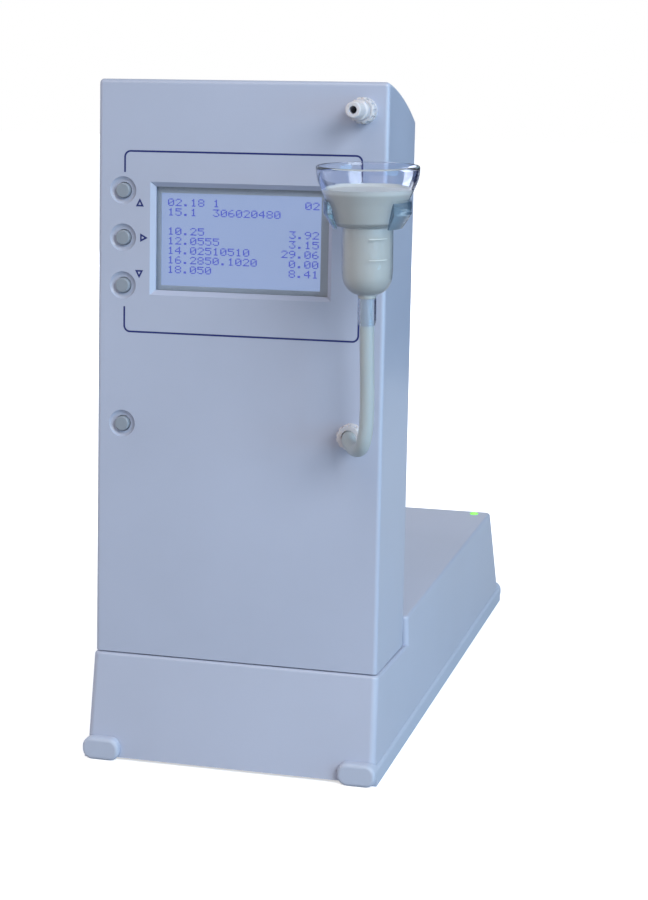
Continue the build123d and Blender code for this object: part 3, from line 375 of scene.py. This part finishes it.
black_plastic = moulded("black_plastic", (26, 27, 30), 0.42, grain=0.25, grain_size=0.7)
coil_tape = moulded("coil_tape", (196, 160, 60), 0.5, grain=0.3, grain_size=2.0)
board_laminate = moulded("board_laminate", (26, 92, 52), 0.4, grain=0.3, grain_size=1.6, drift=0.12)
light_guide = moulded("light_guide", (225, 228, 235), 0.5)
heater_film = moulded("heater_film", (196, 118, 40), 0.35, grain=0.3, grain_size=1.5)
# Pale, for the volume ridges on the cup: real marks painted as a highlight.
mark_and_highlight = moulded("mark_and_highlight", (212, 216, 218), 0.5, grain=0.1)
print(len(bpy.data.materials), "materials so far")

# %% [markdown]
# Metals keep the direction of the tool that made them: a sheet is rolled, so its scratches run
# one way. A noise that is squeezed along one axis gives them, and it drives the roughness as well
# as the bump. The bezel round the display's glass is painted, so it is hardly metallic.

# %% Metals
def metal(name, colour, roughness, stretch=(1.0, 1.0, 14.0), scratch=0.12, metallic=1.0):
    """Metal with fine scratches that run across the axis with the largest stretch."""
    material, tree, shader = new_material(name)
    shader.inputs["Metallic"].default_value = metallic
    base = linear(*colour)
    lines = mottled(
        tree, scaled(base, 0.86), base, scale=260.0, detail=4.0, into=shader.inputs["Base Color"],
        roughness=0.6, stretch=stretch,
    )
    uneven_gloss(tree, lines, shader, low=roughness - 0.08, high=roughness + 0.1)
    bumped(tree, lines, shader, strength=scratch, distance=0.0001)
    return material


zinc_steel = metal("zinc_steel", (186, 188, 194), 0.32)
bezel_metal = metal("bezel_metal", (154, 166, 180), 0.5, stretch=(14, 1, 1), scratch=0.05, metallic=0.1)
nickel_shell = metal("nickel_shell", (200, 202, 206), 0.24)
milled_aluminium = metal("milled_aluminium", (190, 193, 197), 0.38, stretch=(1, 1, 10))
core_steel = metal("core_steel", (70, 66, 62), 0.5, stretch=(1, 30, 1), scratch=0.4)
print(len(bpy.data.materials), "materials so far")

# %% [markdown]
# Clear plastic is judged by its edges and reflections. The cup is smooth with a faint ripple. Its
# edges are painted bluer and darker by the angle they are seen at: painted shade, for the long way
# light takes through the plastic there. Real acrylic refracts by 1.49, but on so thin a cup that
# draws hard black lines along the rim, so the cup gets 1.25 and a smooth coat that mirrors the
# window. Shadow rays and scattered rays go straight through clear plastic, so that lamps shine
# through it and what stands behind it is lit.

# %% Clear plastic
def clear(name, colour, edge_shade_colour, roughness, ripple=0.05, refraction=1.49, haze=0.0, shine=0.0,
          streak=1.0):
    """Clear moulded plastic with a faint ripple from the mould. Its edges are painted darker by the
    angle they are seen at, as painted shade where light has a long way through it. Lamps shine
    through, so that what is behind it is lit. Haze is the share that scatters like frosted
    plastic, shine is the weight of a smooth coat, and streak draws the ripple out sideways."""
    material, tree, shader = new_material(name)
    # Painted shade: the colour turns to the edge shade where the surface is seen edge on.
    facing = node(tree, "ShaderNodeLayerWeight", Blend=0.35)
    painted_edge_shade = tree.nodes.new("ShaderNodeValToRGB")
    painted_edge_shade.color_ramp.elements[0].color = linear(*colour)
    painted_edge_shade.color_ramp.elements[1].color = linear(*edge_shade_colour)
    painted_edge_shade.color_ramp.elements[0].position = 0.25
    tree.links.new(facing.outputs["Facing"], painted_edge_shade.inputs["Fac"])
    tree.links.new(painted_edge_shade.outputs["Color"], shader.inputs["Base Color"])
    shader.inputs["Roughness"].default_value = roughness
    shader.inputs["IOR"].default_value = refraction
    shader.inputs["Transmission Weight"].default_value = 1.0 - haze
    shader.inputs["Coat Weight"].default_value = shine
    place = tree.nodes.new("ShaderNodeTexCoord")
    drawn = tree.nodes.new("ShaderNodeMapping")
    drawn.inputs["Scale"].default_value = (1, 1, streak)
    tree.links.new(place.outputs["Object"], drawn.inputs["Vector"])
    wave = node(tree, "ShaderNodeTexNoise", Scale=90.0, Detail=1.0)
    tree.links.new(drawn.outputs["Vector"], wave.inputs["Vector"])
    bumped(tree, wave, shader, strength=ripple, distance=0.0004)
    passing = node(tree, "ShaderNodeBsdfTransparent", Color=linear(240, 243, 248))
    path = tree.nodes.new("ShaderNodeLightPath")
    unbent = math_node(tree, "MAXIMUM", path.outputs["Is Shadow Ray"], path.outputs["Is Diffuse Ray"])
    either = tree.nodes.new("ShaderNodeMixShader")
    tree.links.new(unbent, either.inputs[0])
    tree.links.new(shader.outputs[0], either.inputs[1])
    tree.links.new(passing.outputs[0], either.inputs[2])
    tree.links.new(either.outputs[0], tree.nodes["Material Output"].inputs["Surface"])
    return material


# The second colour of each is its painted edge shade.
clear_acrylic = clear("clear_acrylic", (248, 250, 255), (225, 235, 245), 0.03, ripple=0.01)
clear_cup = clear("clear_cup", (230, 236, 248), (120, 134, 176), 0.03, refraction=1.25, shine=0.35)
clear_collar = clear(
    "clear_collar", (150, 174, 194), (92, 112, 142), 0.12, ripple=0.8, haze=0.2, streak=7.0
)
print(len(bpy.data.materials), "materials so far")

# %% [markdown]
# Milk, silicone and unpainted white plastic let light in, and it comes out again a little way
# off. Subsurface scattering does that. The hose also lets some light straight through, so that
# the milk inside it shows. The top of the milk is painted lighter: partly for foam and fat, and
# partly as painted light on the surface that faces up.

# %% Milky materials
def milky(name, colour, roughness, scatter, radius_mm, transmission=0.0):
    """A soft translucent stuff: light enters and comes out again a little way off."""
    material, tree, shader = new_material(name)
    base = linear(*colour)
    mottled(tree, scaled(base, 0.95), base, scale=60.0, detail=2.0, into=shader.inputs["Base Color"])
    shader.inputs["Roughness"].default_value = roughness
    shader.inputs["Subsurface Weight"].default_value = scatter
    shader.inputs["Subsurface Radius"].default_value = (1.0, 0.9, 0.75)
    shader.inputs["Subsurface Scale"].default_value = radius_mm * MM
    shader.inputs["Transmission Weight"].default_value = transmission
    shader.inputs["IOR"].default_value = 1.41
    return material


def painted_light_above(material, height, gain):
    """Paint a material's colour lighter above a level: painted light."""
    tree = material.node_tree
    shader = tree.nodes["Principled BSDF"]
    colour = shader.inputs["Base Color"].links[0].from_socket
    place = tree.nodes.new("ShaderNodeTexCoord")
    split = tree.nodes.new("ShaderNodeSeparateXYZ")
    tree.links.new(place.outputs["Object"], split.inputs[0])
    level = node(
        tree, "ShaderNodeMapRange", From_Min=height, From_Max=height + MM, To_Min=1.0, To_Max=gain
    )
    tree.links.new(split.outputs["Z"], level.inputs["Value"])
    raised = node(tree, "ShaderNodeVectorMath")
    raised.operation = "SCALE"
    tree.links.new(colour, raised.inputs[0])
    tree.links.new(level.outputs["Result"], raised.inputs["Scale"])
    tree.links.new(raised.outputs["Vector"], shader.inputs["Base Color"])


hose_silicone = milky("hose_silicone", (188, 198, 206), 0.34, 0.45, 1.6, transmission=0.2)
fresh_milk = milky("fresh_milk", (187, 188, 184), 0.45, 0.35, 2.0)
white_plastic = milky("white_plastic", (208, 206, 214), 0.38, 0.6, 1.2)
# The milk's top is painted lighter, partly for foam and partly as painted light.
painted_light_above(fresh_milk, height=0.2566, gain=1.35)
print(len(bpy.data.materials), "materials, without the lit and the printed ones")

# %% [markdown]
# ## Giving each part its finish
# The construction's parts keep their shape, so here they only take a material. One table names
# the parts of each finish, which is how a maker's parts list groups them too.

# %% Finishes on the construction
FINISHES = [
    (shell_plastic, "front_cover column_housing"),
    (base_plastic, "base_housing"),
    (runner_plastic, "left_runner right_runner"),
    (plate_plastic, "base_plate"),
    (key_plastic, "up_button right_button down_button menu_button"),
    (white_plastic, "up_plunger right_plunger down_plunger menu_plunger cell_nipples "
                    "upper_port lower_port upper_ring_nut lower_ring_nut upper_lock_nut lower_lock_nut"),
    (black_plastic, "power_inlet power_switch power_rocker key_switches board_parts"),
    (coil_tape, "transformer_coil"),
    (core_steel, "transformer_core"),
    (board_laminate, "main_board switch_board lcd_board"),
    (light_guide, "lcd_backlight"),
    (heater_film, "cell_heater"),
    (zinc_steel, "cover_screws column_screws base_screws board_screws small_screws bracket_screws "
                 "serial_posts inlet_pins temperature_probe upper_transducer lower_transducer"),
    (bezel_metal, "lcd_bezel"),
    (nickel_shell, "serial_port"),
    (milled_aluminium, "measuring_cell cell_bracket"),
    (clear_acrylic, "display_pane"),
    (clear_cup, "sample_cup"),
    (clear_collar, "cup_holder"),
    (hose_silicone, "hose upper_inner_hose lower_inner_hose"),
]


def finish(name, material):
    """Put one material on a part of the construction."""
    part = nodes[name]
    part.data.materials.clear()
    part.data.materials.append(material)


for material, names in FINISHES:
    for name in names.split():
        finish(name, material)
print(sum(len(names.split()) for material, names in FINISHES), "parts have their finish")

# %% [markdown]
# The serial port is one solid, but the real one is a nickel shell round a black insulator with
# nine contacts. A mesh can hold two materials, and each face says which one it wears, so only
# the front of the shell is turned black.

# %% The serial port's insulator
SHELL_TOP = 0.139               # metres from the origin, just short of the plane of its front
REARWARD = 0.8                  # how much of a face's normal has to point to the rear
port = nodes["serial_port"].data
port.materials.append(black_plastic)
insulator = [
    face for face in port.polygons
    if face.normal.y > REARWARD and face.normal.dot(face.center) > SHELL_TOP
]
for face in insulator:
    face.material_index = 1
print("the insulator has", len(insulator), "faces")

# %% [markdown]
# ## The lit display
# The glass of a graphic display glows pale blue from the light guide behind it, in faint clouds.
# On such a small screen each figure is a grid of dots, 5 across and 7 down. So the screen's own
# glass gets a glowing material, and every dark dot is a tiny piece of mesh just in front of it.

# %% The display's glow
LIT_TINT, GLOW_STRENGTH = linear(150, 172, 214), 0.82
glow, tree, shader = new_material("display_glow")
mottled(
    tree, scaled(LIT_TINT, 0.93), LIT_TINT, scale=22.0, detail=1.0, into=shader.inputs["Emission Color"]
)
shader.inputs["Base Color"].default_value = linear(60, 66, 84)
shader.inputs["Emission Strength"].default_value = GLOW_STRENGTH
shader.inputs["Roughness"].default_value = 0.3
finish("lcd_glass", glow)
print("the display glows at", GLOW_STRENGTH)

# %% [markdown]
# The face of the column leans back, and everything on it is easiest to draw lying flat: across
# the face is u, up the face is w. One matrix then carries a drawing to its place on the face.

# %% The leaning face
LEAN = math.radians(3.925)
FACE_FOOT = Vector((0, -0.1364, 0.0471))
ACROSS = Vector((1, 0, 0))
UP_FACE = Vector((0, math.sin(LEAN), math.cos(LEAN)))
OUT_OF_FACE = Vector((0, -math.cos(LEAN), math.sin(LEAN)))


def on_face(u, w, out=0.0):
    """The matrix that places a flat drawing on the column's face. All in millimetres."""
    place = FACE_FOOT + ACROSS * u * MM + UP_FACE * w * MM + OUT_OF_FACE * out * MM
    turn = Matrix((ACROSS, UP_FACE, OUT_OF_FACE)).transposed().to_4x4()
    return Matrix.Translation(place) @ turn @ Matrix.Diagonal((MM, MM, MM, 1))


# %% Dot patterns of the figures
FIGURES = {
    "0": "01110 10001 10011 10101 11001 10001 01110",
    "1": "00100 01100 00100 00100 00100 00100 01110",
    "2": "01110 10001 00001 00010 00100 01000 11111",
    "3": "11111 00010 00100 00010 00001 10001 01110",
    "4": "00010 00110 01010 10010 11111 00010 00010",
    "5": "11111 10000 11110 00001 00001 10001 01110",
    "6": "00110 01000 10000 11110 10001 10001 01110",
    "7": "11111 00001 00010 00100 01000 01000 01000",
    "8": "01110 10001 10001 01110 10001 10001 01110",
    "9": "01110 10001 10001 01111 00001 00010 01100",
    ".": "00000 00000 00000 00000 00000 01100 01100",
}

# %% The figures on the screen
DOT_WIDTH, DOT_HEIGHT = 0.572, 0.46     # millimetres, with no gap between one dot and the next
DOTS_PER_FIGURE = 6             # five dots and a gap
ROW_PITCH = 4.14
TEXT_LEFT, TEXT_TOP = -34.1, 202.6
READINGS = [
    "02.18 1           02",
    "15.1  306020480     ",
    "                    ",
    "10.25           3.92",
    "12.0555         3.15",
    "14.02510510    29.06",
    "16.2850.1020    0.00",
    "18.050          8.41",
]

dots = bmesh.new()
dot_shape = Matrix.Diagonal((DOT_WIDTH, DOT_HEIGHT, 1, 1))
for row, words in enumerate(READINGS):
    for column, figure in enumerate(words):
        if figure == " ":
            continue
        for line, pattern in enumerate(FIGURES[figure].split()):
            for step, lit in enumerate(pattern):
                if lit == "1":
                    u = TEXT_LEFT + (column * DOTS_PER_FIGURE + step + 0.5) * DOT_WIDTH
                    w = TEXT_TOP - row * ROW_PITCH - (line + 0.5) * DOT_HEIGHT
                    bmesh.ops.create_grid(
                        dots, x_segments=1, y_segments=1, size=0.5,
                        matrix=Matrix.Translation((u, w, 0)) @ dot_shape,
                    )

# %% The dots on the glass
GLASS_FRONT = 5.1               # the glass starts this far behind the face
INK_GAP = 0.02                  # and the dots lie this far in front of the glass
dots.transform(on_face(0, 0, INK_GAP - GLASS_FRONT))
dot_count = len(dots.faces)
dot_ink, tree, shader = new_material("dot_ink")
mottled(
    tree, linear(34, 56, 196), linear(46, 70, 206), scale=60.0, detail=1.0,
    into=shader.inputs["Emission Color"],
)
shader.inputs["Emission Strength"].default_value = 0.8
shader.inputs["Base Color"].default_value = linear(30, 36, 80)
shader.inputs["Roughness"].default_value = 0.3
screen_figures = add_mesh("screen_figures", dots, dot_ink)
print("the screen shows", dot_count, "dots")

# %% [markdown]
# ## Printed lines and arrows
# A thin navy line is printed round the display, and it stops where the three upper keys stand.
# A flat rounded rectangle is made first, then inset by the width of the line. Only the rim is
# kept, and it is cut away where the keys interrupt it. The arrows are made the same way.

# %% Print on the column's face
PRINT_THICKNESS, PRINT_GAP = 0.03, 0.002
navy, tree, shader = new_material("navy_print")
mottled(
    tree, linear(20, 32, 98), linear(34, 46, 116), scale=900.0, detail=3.0,
    into=shader.inputs["Base Color"],
)
shader.inputs["Roughness"].default_value = 0.45


def outline_only(shape, width):
    """Keep just the rim of each flat face, this wide."""
    inner = shape.faces[:]
    bmesh.ops.inset_individual(shape, faces=inner, thickness=width, use_even_offset=True)
    bmesh.ops.delete(shape, geom=inner, context="FACES_ONLY")


def printed(name, shape, u, w):
    """Give a flat drawing the thickness of paint, and put it on the face."""
    bmesh.ops.recalc_face_normals(shape, faces=shape.faces)
    bmesh.ops.solidify(shape, geom=shape.faces[:], thickness=PRINT_THICKNESS)
    lowest = min(corner.co.z for corner in shape.verts)
    bmesh.ops.translate(shape, verts=shape.verts, vec=(0, 0, -lowest))
    shape.transform(on_face(u, w, PRINT_GAP))
    piece = add_mesh(name, shape, navy)
    print(name, "has", len(piece.data.polygons), "faces")


# %% The line round the display
FRAME_LEFT, FRAME_RIGHT = -52.6, 53.8
FRAME_TOP, FRAME_BOTTOM = 223.0, 144.2
FRAME_CORNER, FRAME_LINE = 3.0, 0.8
KEY_GAP = (155.5, 213.5)        # between these levels the left side is left out
frame_middle = (FRAME_TOP + FRAME_BOTTOM) / 2
half_size = ((FRAME_RIGHT - FRAME_LEFT) / 2, (FRAME_TOP - FRAME_BOTTOM) / 2, 1)

ring = bmesh.new()
bmesh.ops.create_grid(ring, x_segments=1, y_segments=1, size=1)
bmesh.ops.scale(ring, verts=ring.verts, vec=half_size)
bmesh.ops.bevel(
    ring, geom=ring.verts[:], offset=FRAME_CORNER, offset_type="OFFSET", segments=8,
    profile=0.5, affect="VERTICES", material=-1,
)
outline_only(ring, FRAME_LINE)
for level in KEY_GAP:
    bmesh.ops.bisect_plane(
        ring, geom=ring.faces[:] + ring.edges[:] + ring.verts[:],
        plane_co=(0, level - frame_middle, 0), plane_no=(0, 1, 0),
    )
low_gap, high_gap = (level - frame_middle for level in KEY_GAP)
beside_keys = [
    face for face in ring.faces
    if face.calc_center_median().x < 0 and low_gap < face.calc_center_median().y < high_gap
]
bmesh.ops.delete(ring, geom=beside_keys, context="FACES")
printed("display_outline", ring, (FRAME_LEFT + FRAME_RIGHT) / 2, frame_middle)

# %% The arrows beside the three keys
ARROWS = {                      # u, w and the way it points, in degrees
    "up_arrow": (-45.3, 200.1, 90),
    "right_arrow": (-43.9, 185.5, 0),
    "down_arrow": (-45.45, 170.3, -90),
}
ARROW_RADIUS, ARROW_LINE = 2.15, 0.72
ARROW_STRETCH = 1.1             # a little longer than an even triangle
for name, (u, w, turn) in ARROWS.items():
    arrow = bmesh.new()
    bmesh.ops.create_circle(arrow, cap_ends=True, segments=3, radius=ARROW_RADIUS)
    tip = next(iter(arrow.verts))
    heading = math.atan2(tip.co.y, tip.co.x)
    bmesh.ops.rotate(
        arrow, verts=arrow.verts, matrix=Matrix.Rotation(math.radians(turn) - heading, 3, "Z")
    )
    wide, tall = (ARROW_STRETCH, 1) if turn == 0 else (1, ARROW_STRETCH)
    bmesh.ops.scale(arrow, verts=arrow.verts, vec=(wide, tall, 1))
    outline_only(arrow, ARROW_LINE)
    printed(name, arrow, u, w)

# %% [markdown]
# ## The sample cup
# The real cup is moulded in one clear wall, so its section is drawn once and spun round the axis.
# The corners of the section are rounded by bevelling its points, which gives the ball at the foot
# and the sweep of the bowl. A spun mesh has even, smooth facets, and that matters in clear
# plastic, where every facet would show as a streak.

# %% Spun pieces
CUP_AXIS = Vector((0.0636, -0.152, 0))
AT_CUP = Matrix.Translation(CUP_AXIS) @ Matrix.Diagonal((MM, MM, MM, 1))
SPIN_STEPS, ROUNDING_STEPS, SMOOTH_ANGLE = 128, 12, 35


def spun(name, outline, material):
    """Spin a closed section round the cup's axis. The outline holds (radius, height, rounding)
    in millimetres, and its rounded corners become arcs."""
    shape = bmesh.new()
    corners = [shape.verts.new((radius, 0, height)) for radius, height, rounding in outline]
    shape.faces.new(corners)
    for corner, (radius, height, rounding) in zip(corners, outline):
        if rounding:
            bmesh.ops.bevel(
                shape, geom=[corner], offset=rounding, offset_type="OFFSET", segments=ROUNDING_STEPS,
                profile=0.5, affect="VERTICES", material=-1, clamp_overlap=False,
            )
    bmesh.ops.delete(shape, geom=shape.faces[:], context="FACES_ONLY")
    bmesh.ops.spin(
        shape, geom=shape.verts[:] + shape.edges[:], cent=(0, 0, 0), axis=(0, 0, 1),
        angle=2 * math.pi, steps=SPIN_STEPS, use_merge=True, use_duplicate=False,
    )
    bmesh.ops.remove_doubles(shape, verts=shape.verts, dist=0.001)
    shape.transform(AT_CUP)
    piece = add_mesh(name, shape, material, "cup", SMOOTH_ANGLE)
    print(name, "has", len(piece.data.polygons), "faces")
    return piece


# %% Cup
CUP_RIM = 267.8
CUP_SECTION = [
    (3.15, 202.9, 0), (3.4, 202.9, 0), (3.85, 205.1, 0.6), (3.85, 215.3, 0.4), (7.0, 216.6, 1.6),
    (10.0, 220.2, 2.6), (10.5, 225.5, 1.5), (10.5, 243.2, 0.3), (13.3, 243.8, 0.5),
    (16.0, 252.2, 1.2), (18.9, 258.2, 2.5), (20.9, 263.2, 2.0), (21.05, 267.3, 0.2),
    (20.7, CUP_RIM, 0.2), (20.1, CUP_RIM, 0.2), (19.6, 266.6, 0.3), (19.5, 263.6, 2.0),
    (17.5, 258.8, 2.0), (14.6, 252.8, 1.0), (11.9, 245.2, 0.5), (9.1, 244.4, 0.3),
    (9.1, 225.5, 1.5), (8.6, 221.2, 2.0), (6.3, 218.0, 1.4), (3.15, 216.5, 0.4),
]
cup = spun("clear_cup", CUP_SECTION, clear_cup)
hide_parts("sample_cup")

# %% [markdown]
# Milk fills the cup to a centimetre below the rim. It wets the wall, so its edge climbs a little.
# Its body reaches a hair into the plastic: a gap of air there would shine like a mirror.

# %% Milk in the cup
MILK_LEVEL = 257.9
MILK_SECTION = [
    (0, 214.1, 0), (3.17, 214.1, 0), (3.17, 216.5, 0.4), (6.32, 218.0, 1.4), (8.62, 221.2, 2.0),
    (9.12, 225.5, 1.5), (9.12, 244.4, 0.3), (11.92, 245.2, 0.5), (14.62, 252.8, 1.0),
    (17.3, 258.3, 0), (17.55, 258.9, 0), (16.9, MILK_LEVEL, 0.4), (0, MILK_LEVEL, 0),
]
milk = spun("cup_milk", MILK_SECTION, fresh_milk)

# %% [markdown]
# Two fine ridges on the cup's tube show the least and the most milk that a test needs. Each is a
# small square section, spun only through the part of a turn where light catches it. They are real
# marks, painted pale as a highlight.

# %% Volume ridges
RIDGE_HEIGHTS = {"upper_ridge": 239.2, "lower_ridge": 230.7}
RIDGE_RADIUS, RIDGE_HALF_WIDTH = 10.55, 0.12
# The ridges run only over the angles where light catches them: a painted highlight.
RIDGE_START, RIDGE_SWEEP, RIDGE_STEPS = math.radians(18), math.radians(44), 24
for name, height in RIDGE_HEIGHTS.items():
    ridge = bmesh.new()
    bmesh.ops.create_grid(ridge, x_segments=1, y_segments=1, size=RIDGE_HALF_WIDTH)
    bmesh.ops.rotate(ridge, verts=ridge.verts, matrix=Matrix.Rotation(math.pi / 2, 3, "X"))
    bmesh.ops.translate(ridge, verts=ridge.verts, vec=(RIDGE_RADIUS, 0, height))
    bmesh.ops.rotate(ridge, verts=ridge.verts, matrix=Matrix.Rotation(RIDGE_START - math.pi / 2, 3, "Z"))
    bmesh.ops.spin(
        ridge, geom=ridge.verts[:] + ridge.edges[:] + ridge.faces[:], cent=(0, 0, 0),
        axis=(0, 0, 1), angle=RIDGE_SWEEP, steps=RIDGE_STEPS,
    )
    ridge.transform(AT_CUP)
    line = add_mesh(name, ridge, mark_and_highlight, "cup", SMOOTH_ANGLE)
    print(name, "is at", height, "mm")

# %% [markdown]
# ## The collar
# The collar's form is right in the construction, but its mesh is loose triangles with hard
# shading. A copy is joined at its doubled points and shaded smooth, so light runs through it as
# through one moulded piece.

# %% A smooth collar
MERGE_DISTANCE, COLLAR_ANGLE = 1e-6, 32
collar_shape = bmesh.new()
collar_shape.from_mesh(nodes["cup_holder"].data)
bmesh.ops.remove_doubles(collar_shape, verts=collar_shape.verts, dist=MERGE_DISTANCE)
collar = add_mesh("clear_collar", collar_shape, clear_collar, smooth_angle=COLLAR_ANGLE)
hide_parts("cup_holder")
print("the collar has", len(collar.data.vertices), "points once its doubles are joined")

# %% [markdown]
# ## The hose
# A soft silicone hose leaves the lower fitting, bends up at once and takes the cup's spout in its
# upper end. It is one smooth curve of known length with a round section. Inside it runs a thinner
# curve of milk, which shows faintly through the cloudy wall.

# %% Hose
HOSE_ROUTE = [
    (0.0515, -0.131855, 0.151333), (0.0515, -0.138040, 0.151757), (0.0578, -0.1463, 0.148),
    (0.0632, -0.1534, 0.1529), (0.0642, -0.1522, 0.167), (0.0636, -0.152, 0.197),
    (0.0636, -0.152, 0.214),
]
HOSE_DIAMETER, HOSE_BORE = 0.006, 0.004


def along_route(name, diameter, material):
    """A round curve that follows the hose's route."""
    line = bpy.data.curves.new(name, "CURVE")
    line.dimensions = "3D"
    line.bevel_depth = diameter / 2
    line.bevel_resolution = 8
    line.resolution_u = 16
    line.use_fill_caps = True
    spline = line.splines.new("NURBS")
    spline.points.add(len(HOSE_ROUTE) - 1)
    for point, place in zip(spline.points, HOSE_ROUTE):
        point.co = (*place, 1)
    spline.order_u = 3
    spline.use_endpoint_u = True
    line.materials.append(material)
    piece = bpy.data.objects.new(name, line)
    scene.collection.objects.link(piece)
    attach(piece, "root")
    return piece


hose_tube = along_route("milk_hose", HOSE_DIAMETER, hose_silicone)
hose_milk = along_route("hose_milk", HOSE_BORE, fresh_milk)
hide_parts("hose")
print("the hose's route has", len(HOSE_ROUTE), "points")

# %% [markdown]
# ## The green lamp
# A lamp at the rear right corner of the base shows that the power is on. The part itself ends
# flush with the housing, so half of a flattened ball gives it the low lens that shows from the front.

# %% Lamp
lamp_glow, tree, shader = new_material("lamp_glow")
mottled(
    tree, linear(110, 235, 70), linear(170, 250, 110), scale=500.0, detail=1.0,
    into=shader.inputs["Emission Color"],
)
shader.inputs["Base Color"].default_value = linear(90, 200, 70)
shader.inputs["Emission Strength"].default_value = 1.0
shader.inputs["Roughness"].default_value = 0.25
finish("status_led", lamp_glow)

# %% The lamp's lens
LENS_RADIUS, LENS_RISE, LENS_SINK = 2.3 * MM, 0.75 * MM, 0.6 * MM
led_low, led_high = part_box("status_led")
lens_middle = Vector((
    (led_low[0] + led_high[0]) / 2, (led_low[1] + led_high[1]) / 2, led_high[2] - LENS_SINK,
))
dome = bmesh.new()
bmesh.ops.create_uvsphere(dome, u_segments=32, v_segments=16, radius=1)
bmesh.ops.bisect_plane(
    dome, geom=dome.verts[:] + dome.edges[:] + dome.faces[:], plane_co=(0, 0, 0), plane_no=(0, 0, -1),
    clear_outer=True,
)
bmesh.ops.holes_fill(dome, edges=[edge for edge in dome.edges if edge.is_boundary])
dome.transform(
    Matrix.Translation(lens_middle) @ Matrix.Diagonal((LENS_RADIUS, LENS_RADIUS, LENS_RISE, 1))
)
lamp_lens = add_mesh("lamp_lens", dome, lamp_glow, smooth_angle=40)
print("the lamp's lens stands at", [round(c, 4) for c in lens_middle])
